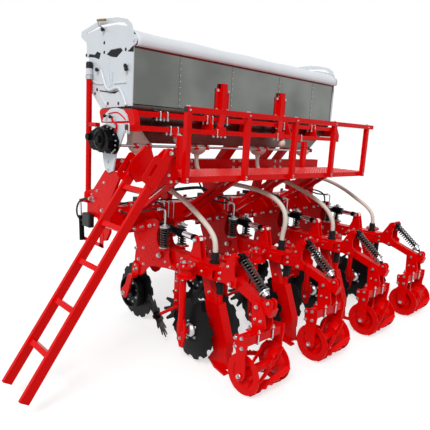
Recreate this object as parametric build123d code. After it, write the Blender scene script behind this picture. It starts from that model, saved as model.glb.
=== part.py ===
from build123d import *
import math
import os

os.makedirs("parts", exist_ok=True)

# Strip till cultivator, four rows. Millimetres; x to the right, y the way it travels, z up.
# Layout origin: mid-machine, under the pivot of the roller arms, on the ground.

# Sizes of the whole
ROW_PITCH = 750.0
UNIT_X = [(k - 1.5) * ROW_PITCH for k in range(4)]
BAR_Y, BAR_Z, BAR_SIZE, BAR_HALF, BAR_WALL = 1280.0, 915.0, 180.0, 1390.0, 10.0
HOPPER_X, HOPPER_HALF, SHEET = -40.0, BAR_HALF - 64.0, 4.0
RUN_GAP = 0.3

# Places in the side view (y, z)
PIVOT_G = (768.0, 679.0)
PIN_H = (905.0, 890.0)
PIN_F = (416.0, 870.0)
PIVOT_A = (3.0, 658.0)
SPRING_TOP = (-18.0, 843.0)
SPRING_FOOT = (-306.0, 611.0)
FORK_BOLT = (-228.0, 568.0)
ROLLER_AXLE = (-246.0, 143.0)
COULTER_AXLE = (1205.0, 245.0)
DISC_AXLE = (290.0, 247.0)
CLEANER_HUB = (140.0, 700.0, 215.0)
CLEANER_AXIS = (0.70, 0.55, -0.45)
LADDER_PIN = (-1505.0, 1505.0)
LADDER_FOOT = (-2450.0, 110.0)
LADDER_Y = (310.0, 600.0)

NODES = {}


def yz(points, x0, x1):
    """A plate drawn in the side view, from x0 to x1."""
    return extrude(Plane.YZ.offset(x0) * make_face(Polyline(*points, close=True)), x1 - x0)


def xz(points, y0, y1):
    """A plate drawn in the front view, from y0 to y1."""
    return extrude(Plane.XZ.offset(-y1) * make_face(Polyline(*points, close=True)), y1 - y0)


def xy(points, z0, z1):
    """A plate drawn in the plan view, from z0 to z1."""
    return extrude(Plane.XY.offset(z0) * make_face(Polyline(*points, close=True)), z1 - z0)


def block(x0, x1, y0, y1, z0, z1):
    """A box between two corners."""
    return Pos((x0 + x1) / 2, (y0 + y1) / 2, (z0 + z1) / 2) * Box(x1 - x0, y1 - y0, z1 - z0)


def rod(p, q, radius):
    """A round bar between two points."""
    run = Vector(*q) - Vector(*p)
    low = (Align.CENTER, Align.CENTER, Align.MIN)
    return Plane(origin=p, z_dir=run) * Cylinder(radius, run.length, align=low)


def pin(at, x0, x1, radius):
    """A round bar across the machine at a place in the side view."""
    return rod((x0, at[0], at[1]), (x1, at[0], at[1]), radius)


def strip(p, q, width, over=0.0):
    """The four corners of a strip between two places in a plane."""
    run = math.hypot(q[0] - p[0], q[1] - p[1])
    c, s = (q[0] - p[0]) / run, (q[1] - p[1]) / run
    a, b = (p[0] - c * over, p[1] - s * over), (q[0] + c * over, q[1] + s * over)
    h = width / 2
    return [(a[0] - s * h, a[1] + c * h), (a[0] + s * h, a[1] - c * h),
            (b[0] + s * h, b[1] - c * h), (b[0] - s * h, b[1] + c * h)]


def along(p, q, distance):
    """The place at a distance from p toward q in a plane."""
    run = math.hypot(q[0] - p[0], q[1] - p[1])
    return (p[0] + (q[0] - p[0]) * distance / run, p[1] + (q[1] - p[1]) * distance / run)


def turned(profile):
    """A body of revolution about x from (x, radius) points."""
    return revolve(make_face(Polyline(*profile, close=True)), Axis.X, 360)


def rows(shape):
    """One copy of a row unit's piece for each row."""
    return [Pos(x, 0, 0) * shape for x in UNIT_X]


def both(shape):
    """A piece and its mirror image across the row's centre plane."""
    return [shape, mirror(shape, about=Plane.YZ)]


def keep(name, shapes):
    """Hold a node's solids under its name until the frame is known."""
    shapes = shapes if isinstance(shapes, list) else [shapes]
    NODES[name] = [solid for shape in shapes for solid in shape.solids()]


# Toolbar: a square tube, open at its ends
bar_out = block(-BAR_HALF, BAR_HALF, BAR_Y - BAR_SIZE / 2, BAR_Y + BAR_SIZE / 2,
                BAR_Z - BAR_SIZE / 2, BAR_Z + BAR_SIZE / 2)
inside = BAR_SIZE / 2 - BAR_WALL
bar_in = block(-BAR_HALF, BAR_HALF, BAR_Y - inside, BAR_Y + inside, BAR_Z - inside, BAR_Z + inside)
keep("toolbar", bar_out - bar_in)
BAR_REAR, BAR_FRONT = BAR_Y - BAR_SIZE / 2, BAR_Y + BAR_SIZE / 2
BAR_LOW, BAR_TOP = BAR_Z - BAR_SIZE / 2, BAR_Z + BAR_SIZE / 2

# Headstock: category three hitch with a mast and two lower stub pins
HITCH_PIN = (1600.0, 625.0)
HITCH_PIN_R, HITCH_PIN_LEN, HITCH_PLATE = 18.3, 95.0, (435.0, 460.0)
TOP_PIN = (1658.0, 1310.0)
TOP_BORE_R, TOP_EARS = 16.2, (27.0, 47.0)
cheek = [(BAR_FRONT, BAR_LOW + 5), (BAR_FRONT, BAR_TOP - 5), (1440, BAR_TOP - 5), (1650, 690), (1650, 585),
         (1560, 575), (1440, 740)]
mast = [(BAR_FRONT, BAR_LOW + 5), (BAR_FRONT, BAR_TOP - 5), (1585, 1325), (1620, 1352), (1690, 1352),
        (1702, 1270), (1500, BAR_LOW + 5)]
lower = yz(cheek, *HITCH_PLATE) + pin(HITCH_PIN, HITCH_PLATE[0], HITCH_PLATE[1] + HITCH_PIN_LEN,
                                      HITCH_PIN_R)
ears = both(yz(mast, *TOP_EARS) - pin(TOP_PIN, 0, 100, TOP_BORE_R))
tie = block(-TOP_EARS[0], TOP_EARS[0], BAR_FRONT, BAR_FRONT + 60, BAR_LOW + 20, BAR_TOP - 20)
keep("headstock", both(lower) + [ears[0] + tie + ears[1]])

# Row clamps: a back plate on the toolbar and two webs that the row plates are bolted to
web = yz([(960, 900), (960, 770), (1020, 640), (1112, 640), (1172, 760), (1172, 1000), (1080, 1000)], 47,
         71)
clamp = block(-125, 125, BAR_REAR - 18, BAR_REAR, 780, 1040)
keep("row_clamps", rows(clamp + web + mirror(web, about=Plane.YZ)))

# Row plates: a pair of profiled cheeks held together by the pivot and the cylinder's pin
PLATE_IN, PLATE_OUT = 71.0, 83.0
STRUT_X, STRUT_Y, STRUT_R = 87.0, 722.0, 38.0
plate_edge = [(986, 920), (900, 946), (830, 948), (808, 930), (815, 891), (831, 832), (832, 785),
              (812, 748),
              (786, 738), (665, 738), (665, 690), (640, 640), (573, 618), (569, 600), (699, 589), (784,
                                                                                                   575),
              (835, 570), (925, 543), (969, 503), (1000, 462), (1045, 437), (1085, 440), (1139, 470),
              (1132, 548), (1127, 598), (1107, 727)]
row_plate = yz(plate_edge, PLATE_IN, PLATE_OUT)
row_plate += yz(strip((985, 872), (1128, 822), 62), PLATE_IN, PLATE_OUT + 11)
shelf = block(STRUT_X - 42, STRUT_X + 42, STRUT_Y - 44, STRUT_Y + 44, 738, 750)
PIVOT_R, PIN_H_R = 28.0, 15.0
side = row_plate + shelf
unit = side + mirror(side, about=Plane.YZ) + pin(PIVOT_G, -97, 97, PIVOT_R) + pin(PIN_H, -95, 95, PIN_H_R)
keep("row_plates", rows(unit))

# Trip beams: the trailing box beam with the rod's ears and the bracket of the roller arm
BEAM_HALF = 50.0
beam = block(-BEAM_HALF, BEAM_HALF, 95, 810, 640, 735) - block(-42, 42, 95, 810, 648, 727)
beam -= pin(PIVOT_G, -60, 60, PIVOT_R + RUN_GAP)
ear = yz([(356, 735), (388, 872), (402, 896), (430, 896), (446, 868), (456, 800), (486, 735)], 17, 29)
bracket = yz([(230, 713), (88, 748), (16, 866), (-21, 877), (-39, 856), (-14, 775), (-19, 717), (-45, 700),
              (-45, 640), (6, 632), (74, 645), (177, 629), (330, 640), (330, 713)], BEAM_HALF, 62)
unit = beam + both(ear)[0] + both(ear)[1] + bracket + mirror(bracket, about=Plane.YZ)
unit += pin(PIN_F, -40, 40, 12) + pin(SPRING_TOP, -72, 72, 11) + pin(PIVOT_A, -76, 76, 18)
keep("trip_beams", rows(unit))

# Trip cylinders: barrel on the row plates' pin, rod on the beam's ears
BARREL_END = 300.0
h3, f3 = (0, *PIN_H), (0, *PIN_F)
barrel_from, barrel_to = along(PIN_H, PIN_F, 18), along(PIN_H, PIN_F, BARREL_END)
barrel = rod((0, *barrel_from), (0, *barrel_to), 32) + pin(PIN_H, -22, 22, 30)
gland = rod((0, *along(PIN_H, PIN_F, BARREL_END - 45)), (0, *barrel_to), 37)
keep("trip_barrels", rows(barrel + gland - pin(PIN_H, -60, 60, PIN_H_R + RUN_GAP)))
ROD_R, NECK_R, NECK_LEN = 24.0, 15.0, 70.0
neck_from, neck_to = along(PIN_F, PIN_H, NECK_LEN), along(PIN_F, PIN_H, 20)
piston = rod((0, *barrel_to), (0, *neck_from), ROD_R) + rod((0, *neck_from), (0, *neck_to), NECK_R)
piston += pin(PIN_F, -16, 16, 27)
keep("trip_rods", rows(piston - pin(PIN_F, -40, 40, 12 + RUN_GAP)))


def corrugated(length, radius, depth, ribs, bore=0.0):
    """A ribbed sleeve along z that stands for a coil's outside."""
    pitch = length / ribs
    profile = [(bore, 0.0)]
    for k in range(ribs):
        profile += [(radius - depth, k * pitch), (radius, (k + 0.25) * pitch), (radius, (k + 0.75) * pitch)]
    profile += [(radius - depth, length), (bore, length)]
    face = make_face(Polyline(*profile, close=True))
    return revolve(Plane.XZ * face, Axis.Z, 360)


# Spring struts: one each side of the beam on the row plates' shelves
strut = corrugated(150, STRUT_R, 6, 9)
for z, radius, height in ((-5, STRUT_R + 4, 10), (155, STRUT_R + 4, 10), (165, 20, 12), (174, 11, 10)):
    strut += Pos(0, 0, z) * Cylinder(radius, height)
keep("spring_struts", rows(Pos(STRUT_X, STRUT_Y, 760) * strut) + rows(Pos(-STRUT_X, STRUT_Y, 760) * strut))

# Disc carriers: tube on the beam's side, two flanges, a round post and its slotted foot
POST_X, POST_Y = 210.0, 325.0
carrier = block(BEAM_HALF + 12, 150, 290, 360, 655, 715)
carrier += block(BEAM_HALF + 12, BEAM_HALF + 52, 150, 360, 650, 720)
carrier -= block(BEAM_HALF + 18, BEAM_HALF + 46, 150, 280, 656, 714)
for z0, z1 in ((640, 656), (714, 730)):
    carrier += Pos(POST_X - 20, POST_Y, (z0 + z1) / 2) * Cylinder(70, z1 - z0)
carrier += Pos(POST_X - 20, POST_Y, 685) * Cylinder(50, 70)
carrier += rod((POST_X, POST_Y, 250), (POST_X, POST_Y, 745), 24)
foot = [(290, 335), (352, 335), (368, 285), (360, 190), (334, 120), (296, 122), (279, 190), (266, 240),
        (276, 290)]
carrier += yz(foot, POST_X - 6, POST_X + 6)
for y, z in ((335, 210), (318, 152)):
    carrier -= rod((POST_X - 30, y, z), (POST_X + 30, y, z), 7)
STUB_R = 14.0
carrier += pin(DISC_AXLE, 128, POST_X + 10, STUB_R)
keep("disc_carriers", rows(carrier) + rows(mirror(carrier, about=Plane.YZ)))

# Side discs: notched and dished, with a domed hub outside
DISC_R, DISC_NOTCHES = 220.0, 12
DISC_X = 150.0
profile = [(-8, STUB_R + RUN_GAP), (30, STUB_R + RUN_GAP), (30, 26), (22, 40), (5, 52), (5, 80), (-3, 150),
           (-16, DISC_R), (-21, DISC_R), (-8, 150), (0, 80), (-8, 45)]
disc = turned(profile)
cuts = [Rot(360 * k / DISC_NOTCHES, 0, 0) * rod((-60, 0, DISC_R + 12), (60, 0, DISC_R + 12), 34)
        for k in range(DISC_NOTCHES)]
disc = disc - cuts
for k, x in enumerate(UNIT_X):
    keep(f"disc_right_{k + 1}", Pos(x + DISC_X, *DISC_AXLE) * disc)
    keep(f"disc_left_{k + 1}", Pos(x - DISC_X, *DISC_AXLE) * mirror(disc, about=Plane.YZ))

# Row cleaners: arm under the row plates, a V of two toothed wheels
axis_len = math.sqrt(sum(c * c for c in CLEANER_AXIS))
AXIS = tuple(c / axis_len for c in CLEANER_AXIS)
CLEANER_R, CLEANER_ROOT, CLEANER_TEETH = 180.0, 128.0, 13
CLEANER_STUB_R = 13.0


def off(p, axis, distance):
    """The place a distance along an axis from p."""
    return tuple(a + b * distance for a, b in zip(p, axis))


arm_foot = off(CLEANER_HUB, AXIS, -165)
arm = block(-30, 30, 588, 648, 262, 640) + block(-71, 71, 588, 648, 604, 640)
for side in (1, -1):
    hub = (side * CLEANER_HUB[0], *CLEANER_HUB[1:])
    axis = (side * AXIS[0], *AXIS[1:])
    arm += rod(off(hub, axis, -175), off(hub, axis, 22), CLEANER_STUB_R)
keep("cleaner_arms", rows(arm))
star = []
for k in range(CLEANER_TEETH):
    for share, radius in ((0.0, CLEANER_ROOT), (0.34, CLEANER_ROOT), (0.58, CLEANER_R), (0.82, CLEANER_R)):
        a = 2 * math.pi * (k + share) / CLEANER_TEETH
        star.append((radius * math.cos(a), radius * math.sin(a)))
toothed = extrude(make_face(Polyline(*star, close=True)), 6) + Pos(0, 0, 8) * Cylinder(62, 10)
toothed += Pos(0, 0, 4) * Cylinder(30, 44)
toothed -= Cylinder(CLEANER_STUB_R + RUN_GAP, 200)
for k, x in enumerate(UNIT_X):
    for name, side in (("left", -1), ("right", 1)):
        hub = (x + side * CLEANER_HUB[0], *CLEANER_HUB[1:])
        axis = (side * AXIS[0], *AXIS[1:])
        keep(f"cleaner_{name}_{k + 1}", Plane(origin=hub, z_dir=axis) * toothed)

# Coulters: notched disc and depth drum on one hub, carried by a bent arm on the left
COULTER_R, COULTER_NOTCHES, DRUM_R = COULTER_AXLE[1], 14, 145.0
COULTER_STUB_R = 16.0
blade = turned([(-3, 20), (3, 20), (3, COULTER_R), (-3, COULTER_R)])
notch = rod((-20, 0, COULTER_R + 9), (20, 0, COULTER_R + 9), 26)
blade = blade - [Rot(360 * (k + 0.5) / COULTER_NOTCHES, 0, 0) * notch for k in range(COULTER_NOTCHES)]
drum = turned([(-85, COULTER_STUB_R + RUN_GAP), (30, COULTER_STUB_R + RUN_GAP), (30, 40), (12, 62),
               (-15, 62),
               (-15, DRUM_R - 8), (-22, DRUM_R), (-80, DRUM_R), (-85, DRUM_R - 5), (-85, DRUM_R - 18),
               (-60, DRUM_R - 18),
               (-60, 52), (-85, 52)])
coulter = blade + drum
for k, x in enumerate(UNIT_X):
    keep(f"coulter_{k + 1}", Pos(x, *COULTER_AXLE) * coulter)
arm = yz([(1048, 520), (1128, 545), (1150, 470), (1150, 408), (1085, 408), (1060, 440)], -97, -PLATE_OUT)
arm += block(-135, -PLATE_OUT, 1085, 1150, 408, 432)
arm += yz([(1085, 432), (1150, 432), (1190, 330), (1248, 268), (1250, 225), (1215, 200), (1180, 205),
           (1155, 240)],
          -135, -121)
arm += pin(COULTER_AXLE, -140, 44, COULTER_STUB_R)
keep("coulter_arms", rows(arm))

# Seed path of a row: the cuff above the beam and the boot under it
SOCKET_Y, SOCKET_TOP, BOOT_Y, BOOT_LOW = 235.0, 815.0, 165.0, 524.0

# Tines: a slanted shank under the beam, a hollow shield with the seed tube behind it, a share at the foot
TINE_HALF, TINE_WALL, TINE_TOP = 36.0, 8.0, 460.0
shield = yz([(281, TINE_TOP), (163, 111), (31, 120), (30, 195), (88, 340), (135, TINE_TOP)], -TINE_HALF,
            TINE_HALF)
shield -= yz([(257, TINE_TOP - 20), (146, 90), (48, 90), (48, 195), (105, 337), (148, TINE_TOP - 20)],
             -TINE_HALF + TINE_WALL, TINE_HALF - TINE_WALL)
for y, z in ((218, 376), (161, 243)):
    shield -= rod((-60, y, z), (60, y, z), 7)
shank = yz([(347, 640), (264, 640), (196, TINE_TOP - 4), (279, TINE_TOP - 4)], -24, 24)
seed_tube = rod((0, BOOT_Y - 4, TINE_TOP - 10), (0, BOOT_Y - 4, BOOT_LOW), 20)
keep("tines", rows(shield + shank + seed_tube))
share = xy([(0, 246), (62, 120), (88, -13), (40, -13), (30, 40), (-30, 40), (-40, -13), (-88, -13),
            (-62, 120)], 0, 14)
share += yz([(225, 14), (163, 111), (31, 120), (20, 14)], -26, 26)
keep("tine_feet", rows(share))

# Hose sockets: cuff above the beam, pipe and ribbed boot into the shield
cuff = rod((0, SOCKET_Y, 735), (0, SOCKET_Y, 750), 38)
cuff += rod((0, SOCKET_Y, 750), (0, SOCKET_Y, SOCKET_TOP), 27)
cuff += rod((0, SOCKET_Y, 778), (0, SOCKET_Y, 796), 31)
boot = Pos(0, BOOT_Y, BOOT_LOW) * corrugated(116, 26, 4, 8)
keep("hose_sockets", rows(cuff) + rows(boot))

# Roller arms, springs and yokes
ARM_END = (-324.0, 550.0)
arm = yz(strip((PIVOT_A[0] - 6, 660), ARM_END, 60, 10), -30, 30) + pin(PIVOT_A, -BEAM_HALF, BEAM_HALF, 34)
lug = [(-330, 575), (-334, 612), (-318, 634), (-292, 634), (-278, 615), (-262, 595)]
arm += yz(lug, 14, 26) + yz(lug, -26, -14)
arm += pin(SPRING_FOOT, -34, 34, 11)
arm -= pin(PIVOT_A, -60, 60, 18 + RUN_GAP)
keep("roller_arms", rows(arm))
coil_from, coil_to = along(SPRING_TOP, SPRING_FOOT, 30), along(SPRING_TOP, SPRING_FOOT, 285)
coil = Plane(origin=(0, *coil_from), z_dir=(0, coil_to[0] - coil_from[0], coil_to[1] - coil_from[1]))
COIL_R = 36.0
spring = coil * corrugated(255, COIL_R, 6, 13)
spring += rod((0, *coil_to), (0, *along(coil_to, SPRING_FOOT, 8)), COIL_R + 2)
spring += rod((0, *SPRING_TOP), (0, *SPRING_FOOT), 9)
spring += pin(SPRING_TOP, -24, 24, 24) + pin(SPRING_FOOT, -12, 12, 20)
spring -= pin(SPRING_TOP, -40, 40, 11 + RUN_GAP)
spring -= pin(SPRING_FOOT, -40, 40, 11 + RUN_GAP)
keep("roller_springs", rows(spring))
ROLLER_HALF = 156.0
YOKE_IN, YOKE_OUT = ROLLER_HALF + 18, ROLLER_HALF + 30
YOKE_BAR = (-275.0, -205.0, 345.0, 405.0)
post = yz([(-180, 575), (-186, 440), (-196, YOKE_BAR[3]), (-284, YOKE_BAR[3]), (-304, 450), (-286, 530),
           (-250, 590),
           (-200, 600)], 30, 42)
leg = yz([(-183, 404), (-175, 394), (-181, 327), (-198, 295), (-208, 141), (-228, 112), (-268, 112),
          (-288, 146), (-280, 292),
          (-289, 358), (-288, 418)], YOKE_IN, YOKE_OUT)
yoke = block(-YOKE_OUT, YOKE_OUT, *YOKE_BAR)
yoke += both(post)[0] + both(post)[1] + both(leg)[0] + both(leg)[1]
ROLLER_STUB_R = 15.0
yoke += pin(ROLLER_AXLE, -YOKE_OUT - 8, YOKE_OUT + 8, ROLLER_STUB_R)
yoke += pin(FORK_BOLT, -52, -30, 14) + pin(FORK_BOLT, 30, 52, 14)
keep("roller_yokes", rows(yoke))

# Rollers: two flat rings with bowls that sink inward to the hub, and six skewed bars with waved edges
ROLLER_R, ROLLER_BARS, BAR_SKEW = ROLLER_AXLE[1], 6, 25.0
edge = ROLLER_HALF
RING_R, BOWL_R = ROLLER_R - 6, 90.0
ring = turned([(edge - 52, 28), (edge - 44, 28), (edge - 44, 52), (edge - 6, BOWL_R - 4), (edge, BOWL_R),
               (edge, RING_R),
               (edge - 7, RING_R), (edge - 7, BOWL_R + 4), (edge - 13, BOWL_R), (edge - 52, 56)])
tube = turned([(-ROLLER_HALF - 8, ROLLER_STUB_R + RUN_GAP), (ROLLER_HALF + 8, ROLLER_STUB_R + RUN_GAP),
               (ROLLER_HALF + 8, 30), (-ROLLER_HALF - 8, 30)])
dips = [edge * (0.328 * k - 0.82) for k in range(6)]
wave = [rod((x, -60, 152), (x, 60, 152), 21) for x in dips]
SLAT_LOW = 98.0
slat = block(-edge - 19, edge + 19, -4, 4, SLAT_LOW, 160) - wave
slat = Rot(0, 0, BAR_SKEW) * slat
slats = [Rot(360 * k / ROLLER_BARS, 0, 0) * slat for k in range(ROLLER_BARS)]
reach = ROLLER_HALF - 3
limit = turned([(-reach, SLAT_LOW), (reach, SLAT_LOW), (reach, ROLLER_R), (-reach, ROLLER_R)])
cage = tube + ring + mirror(ring, about=Plane.YZ)
for slat in slats:
    cage += slat & limit
for k, x in enumerate(UNIT_X):
    keep(f"roller_{k + 1}", Pos(x, *ROLLER_AXLE) * cage)

# Hopper: the trough's outer section, its walls, ends and cover
REAR_TOP, REAR_LOW = (986.0, 1825.0), (1060.0, 1535.0)
FRONT_LOW, FRONT_TOP = (1165.0, 1535.0), (1650.0, 1976.0)
FRONT_WALL = 274.0
RIM_Z = FRONT_TOP[1] + FRONT_WALL
HOP_L, HOP_R = HOPPER_X - HOPPER_HALF, HOPPER_X + HOPPER_HALF


def inset(points, t):
    """An open line of points moved sideways by t, corners mitred."""
    out = []
    for k, p in enumerate(points):
        normals = []
        for a, b in ((k - 1, k), (k, k + 1)):
            if a >= 0 and b < len(points):
                dy, dz = points[b][0] - points[a][0], points[b][1] - points[a][1]
                run = math.hypot(dy, dz)
                normals.append((-dz / run, dy / run))
        ny, nz = sum(n[0] for n in normals), sum(n[1] for n in normals)
        size = math.hypot(ny, nz)
        ny, nz = ny / size, nz / size
        cos = ny * normals[0][0] + nz * normals[0][1]
        out.append((p[0] + ny * t / cos, p[1] + nz * t / cos))
    return out


section = [REAR_TOP, REAR_LOW, FRONT_LOW, FRONT_TOP]
inner = inset(section, SHEET)
HIP_IN, HIP_Z = 235.0, 1800.0
trough = yz(section + inner[::-1], HOP_L, HOP_R)
ridge = [(HOP_L, FRONT_TOP[1] + 20), (HOP_L, HIP_Z), (HOP_L + HIP_IN, REAR_LOW[1]),
         (HOP_R - HIP_IN, REAR_LOW[1]),
         (HOP_R, HIP_Z), (HOP_R, FRONT_TOP[1] + 20)]
trough &= xz(ridge, 900, 1700)
inside = yz(inner + [(FRONT_TOP[0], FRONT_TOP[1] + 30), (REAR_TOP[0], FRONT_TOP[1] + 30)], HOP_L, HOP_R)
for end, toward in ((HOP_L, 1), (HOP_R, -1)):
    corner, top = (end + toward * HIP_IN, REAR_LOW[1]), (end, HIP_Z)
    hip = [corner, top, (top[0] + toward * 5.5, top[1]), (corner[0] + toward * 5.5, corner[1])]
    trough += xz(hip, 980, 1500) & inside
keep("hopper_trough", trough)
rear_wall = block(HOP_L, HOP_R, REAR_TOP[0], REAR_TOP[0] + SHEET, REAR_TOP[1] + 6, RIM_Z)
front_wall = block(HOP_L, HOP_R, FRONT_TOP[0] - SHEET, FRONT_TOP[0], FRONT_TOP[1] + 6, RIM_Z)
keep("hopper_walls", [rear_wall, front_wall])
END_T, POCKET = 8.0, 5.0
end_edge = [(974, 1813), (973, 2200), (982, 2343), (1014, 2405), (1068, 2442), (1189, 2469), (1331, 2483),
            (1481, 2481),
            (1782, 2430), (1790, 2385), (1704, 2337), (1686, 2305), (1693, 2213), (1651, 2206), (1650,
                                                                                                 1976),
            (1604, 1928), (1440, 1795)]
slot = [(1052, 2390), (1110, 2424), (1215, 2438), (1464, 2445), (1690, 2412), (1690, 2402), (1464, 2424),
        (1215, 2420)]
pockets = [
    [(1364, 2211), (1296, 2244), (1151, 2246), (1118, 2222), (1208, 2176), (1295, 2189)],
    [(1665, 2214), (1643, 2238), (1550, 2226), (1513, 2248), (1451, 2228), (1475, 2180), (1560, 2201)],
    [(1055, 2210), (984, 2245), (940, 2245), (940, 2200), (981, 2200)],
    [(1469, 1940), (1276, 1922), (1152, 1930), (1227, 1904), (1276, 1910), (1469, 1928)],
]
end = yz(end_edge, 0, END_T) - yz(slot, -5, END_T + 5)
for pocket in pockets:
    end -= yz(pocket, -POCKET, POCKET)
keep("hopper_end_left", Pos(HOP_L - END_T, 0, 0) * end)
keep("hopper_end_right", Pos(HOP_R + END_T, 0, 0) * mirror(end, about=Plane.YZ))
arch = [(976, 2262), (976, 2330), (1040, 2366), (1215, 2400), (1464, 2402), (1600, 2370), (1664, 2330),
        (1664, 2262)]
cover = yz(arch + inset(arch, 8)[::-1], HOP_L + 2, HOP_R - 2)
cover += rod((HOP_L + 2, 956, RIM_Z + 14), (HOP_R - 2, 956, RIM_Z + 14), 18)
cover += block(HOP_L + 2, HOP_R - 2, 980, 1000, RIM_Z, RIM_Z + 14)
cover += block(HOP_L + 2, HOP_R - 2, 1640, 1664, RIM_Z, RIM_Z + 14)
keep("hopper_cover", cover)

# Cradle: two rear beams, the cross beam, ribs and straps on the hopper's back, end brackets
beams = [block(HOP_L, HOP_R, 940, 980, 1740, 1782), block(HOP_L - 98, HOP_R, 880, 920, 1631, 1671)]
CROSS = (1180.0, 1280.0, 1300.0, 1400.0)
LEG_T = 22.0
CROSS_HALF = BAR_HALF + LEG_T
cross = block(-CROSS_HALF, CROSS_HALF, CROSS[0], CROSS[1], CROSS[2], CROSS[3])
cross -= block(-CROSS_HALF, CROSS_HALF, CROSS[0] + 8, CROSS[1] - 8, CROSS[2] + 8, CROSS[3] - 8)
keep("cradle_beams", beams + [cross])


def on_line(p, q, z):
    """The place on a line at a height."""
    return (p[0] + (q[0] - p[0]) * (z - p[1]) / (q[1] - p[1]), z)


RIB_X, RIB_HALF = (-620.0, -150.0, 450.0, 900.0), 8.0
rib_edge = [(880, 1625), (880, 1690), (935, 1800), on_line(REAR_LOW, REAR_TOP, 1800),
            on_line(REAR_LOW, REAR_TOP, 1625)]
ribs = [yz(rib_edge, x - RIB_HALF, x + RIB_HALF) - beams[0] - beams[1] for x in RIB_X]
end_plate = [(872, 1625), (872, 1700), (900, 1770), (925, 1786), (1375, 1786), (1392, 1760), (1360, 1676),
             (960, 1676),
             (935, 1625)]
END_X = 46.0
brackets = [yz(end_plate, HOP_L - END_X, HOP_L) - beams[1], yz(end_plate, HOP_R, HOP_R + END_X)]
STRAPS = ((-437.0, -525.0), (372.0, 290.0))
straps = []
for top_x, foot_x in STRAPS:
    strap = block(top_x - 82, top_x + 82, REAR_TOP[0] - 8, REAR_TOP[0], 1832, 2032)
    strap += block(top_x - 30, top_x + 30, REAR_TOP[0] - 38, REAR_TOP[0] - 8, 1838, 2074)
    run = Vector(top_x - foot_x, 48, 160)
    base = Vector(foot_x, 898, 1690)
    standing = (Align.CENTER, Align.CENTER, Align.MIN)
    strap += Plane(origin=base, x_dir=(1, 0, -0.5), z_dir=run) * Box(66, 12, run.length, align=standing)
    strap += block(foot_x - 45, foot_x + 45, 866, 880, 1620, 1700)
    strap += block(foot_x - 45, foot_x + 45, 866, 905, 1671, 1700)
    straps.append(strap)
keep("hopper_brackets", ribs + brackets + straps)

# Legs: end plates with the front poles, and sloped inner legs below and above the cross beam
leg_edge = [(1260, 712), (1300, 702), (1345, 722), (1385, 850), (1500, 975), (1615, 985), (1615, 1090),
            (1480, 1120),
            (1290, CROSS[2]), (1060, CROSS[2]), (1075, 1250), (1205, 1060), (1205, 790)]
POLE_Y, POLE_R, POLE_TOP = 1590.0, 24.0, 2165.0
legs = []
for side, wall in ((-1, HOP_L - END_T), (1, HOP_R + END_T)):
    x = side * BAR_HALF
    plate = yz(leg_edge, min(x, x + side * LEG_T), max(x, x + side * LEG_T))
    mid = x + side * LEG_T / 2
    plate += rod((mid, POLE_Y, 1000), (mid, POLE_Y, POLE_TOP), POLE_R)
    for z in (2060, 2140):
        plate += rod((mid, POLE_Y, z), (wall, POLE_Y, z), 11)
    legs.append(plate)
LEG_X = ((-760.0, 30.0), (-150.0, 60.0), (450.0, 25.0), (680.0, 30.0))
low_edge = [(1270, BAR_TOP), (1368, BAR_TOP), (1278, CROSS[2]), (1190, CROSS[2])]
top_edge = [(1186, CROSS[3]), (1274, CROSS[3]), (1160, REAR_LOW[1]), (1072, REAR_LOW[1])]
for x, half in LEG_X:
    legs += [yz(low_edge, x - half, x + half), yz(top_edge, x - half, x + half)]
keep("hopper_legs", legs)

# Metering: one housing and funnel a row under the trough, and the drive at the left end
METER_X, METER_Y, METER_LOW = (HOP_L + 151.0, -590.0, 232.0, 985.0), 1112.0, 1425.0
meter = block(-85, 85, 1066, 1158, 1503, 1535)
bucket = [(0, METER_LOW), (24, METER_LOW), (24, 1444), (44, 1452), (70, 1472), (82, 1492), (86, 1510),
          (0, 1510)]
meter += Pos(0, METER_Y, 0) * revolve(Plane.XZ * make_face(Polyline(*bucket, close=True)), Axis.Z, 360)
meters = [Pos(x, 0, 0) * meter for x in METER_X]
hip_foot = HOP_L + HIP_IN - METER_X[0]
hip_rise = (HIP_Z - REAR_LOW[1]) / HIP_IN
hip_top = REAR_LOW[1] + (hip_foot + 85) * hip_rise
wedge = xz([(-85, 1520), (hip_foot, 1520), (hip_foot, REAR_LOW[1]), (-85, hip_top)], 1070, 1150)
meters[0] += Pos(METER_X[0], 0, 0) * wedge
keep("meter_units", meters)
case = [(1440, 1517), (1400, 1610), (1252, 1664), (1130, 1640), (1056, 1545), (1070, 1470), (1110, 1441),
        (1330, 1441),
        (1400, 1462)]
WHITE_X = HOP_L - END_X
gear = yz(case, WHITE_X - 36, WHITE_X - 12)
cx, cz = 1250.0, 1550.0
dome = [(cx + 0.84 * (y - cx), cz + 0.84 * (z - cz)) for y, z in case]
gear += yz(dome, WHITE_X - 90, WHITE_X - 36)
gear += rod((WHITE_X - 36, 1395, 1560), (WHITE_X - 110, 1395, 1560), 28)
keep("meter_drive", gear)
sector = [(953, 1700), (975, 1745), (1030, 1782), (1120, 1795), (1200, 1788), (1280, 1750), (1328, 1690),
          (1300, 1683)]
carrier = [(1150, 1304), (1214, 1286), (1272, 1310), (1290, 1345), (1316, 1441), (1300, 1520),
           (1270, 1678), (960, 1678),
           (1050, 1520), (1108, 1441)]
keep("drive_bracket", [yz(sector, WHITE_X - 10, WHITE_X), yz(carrier, WHITE_X - 12, WHITE_X)])

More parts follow.
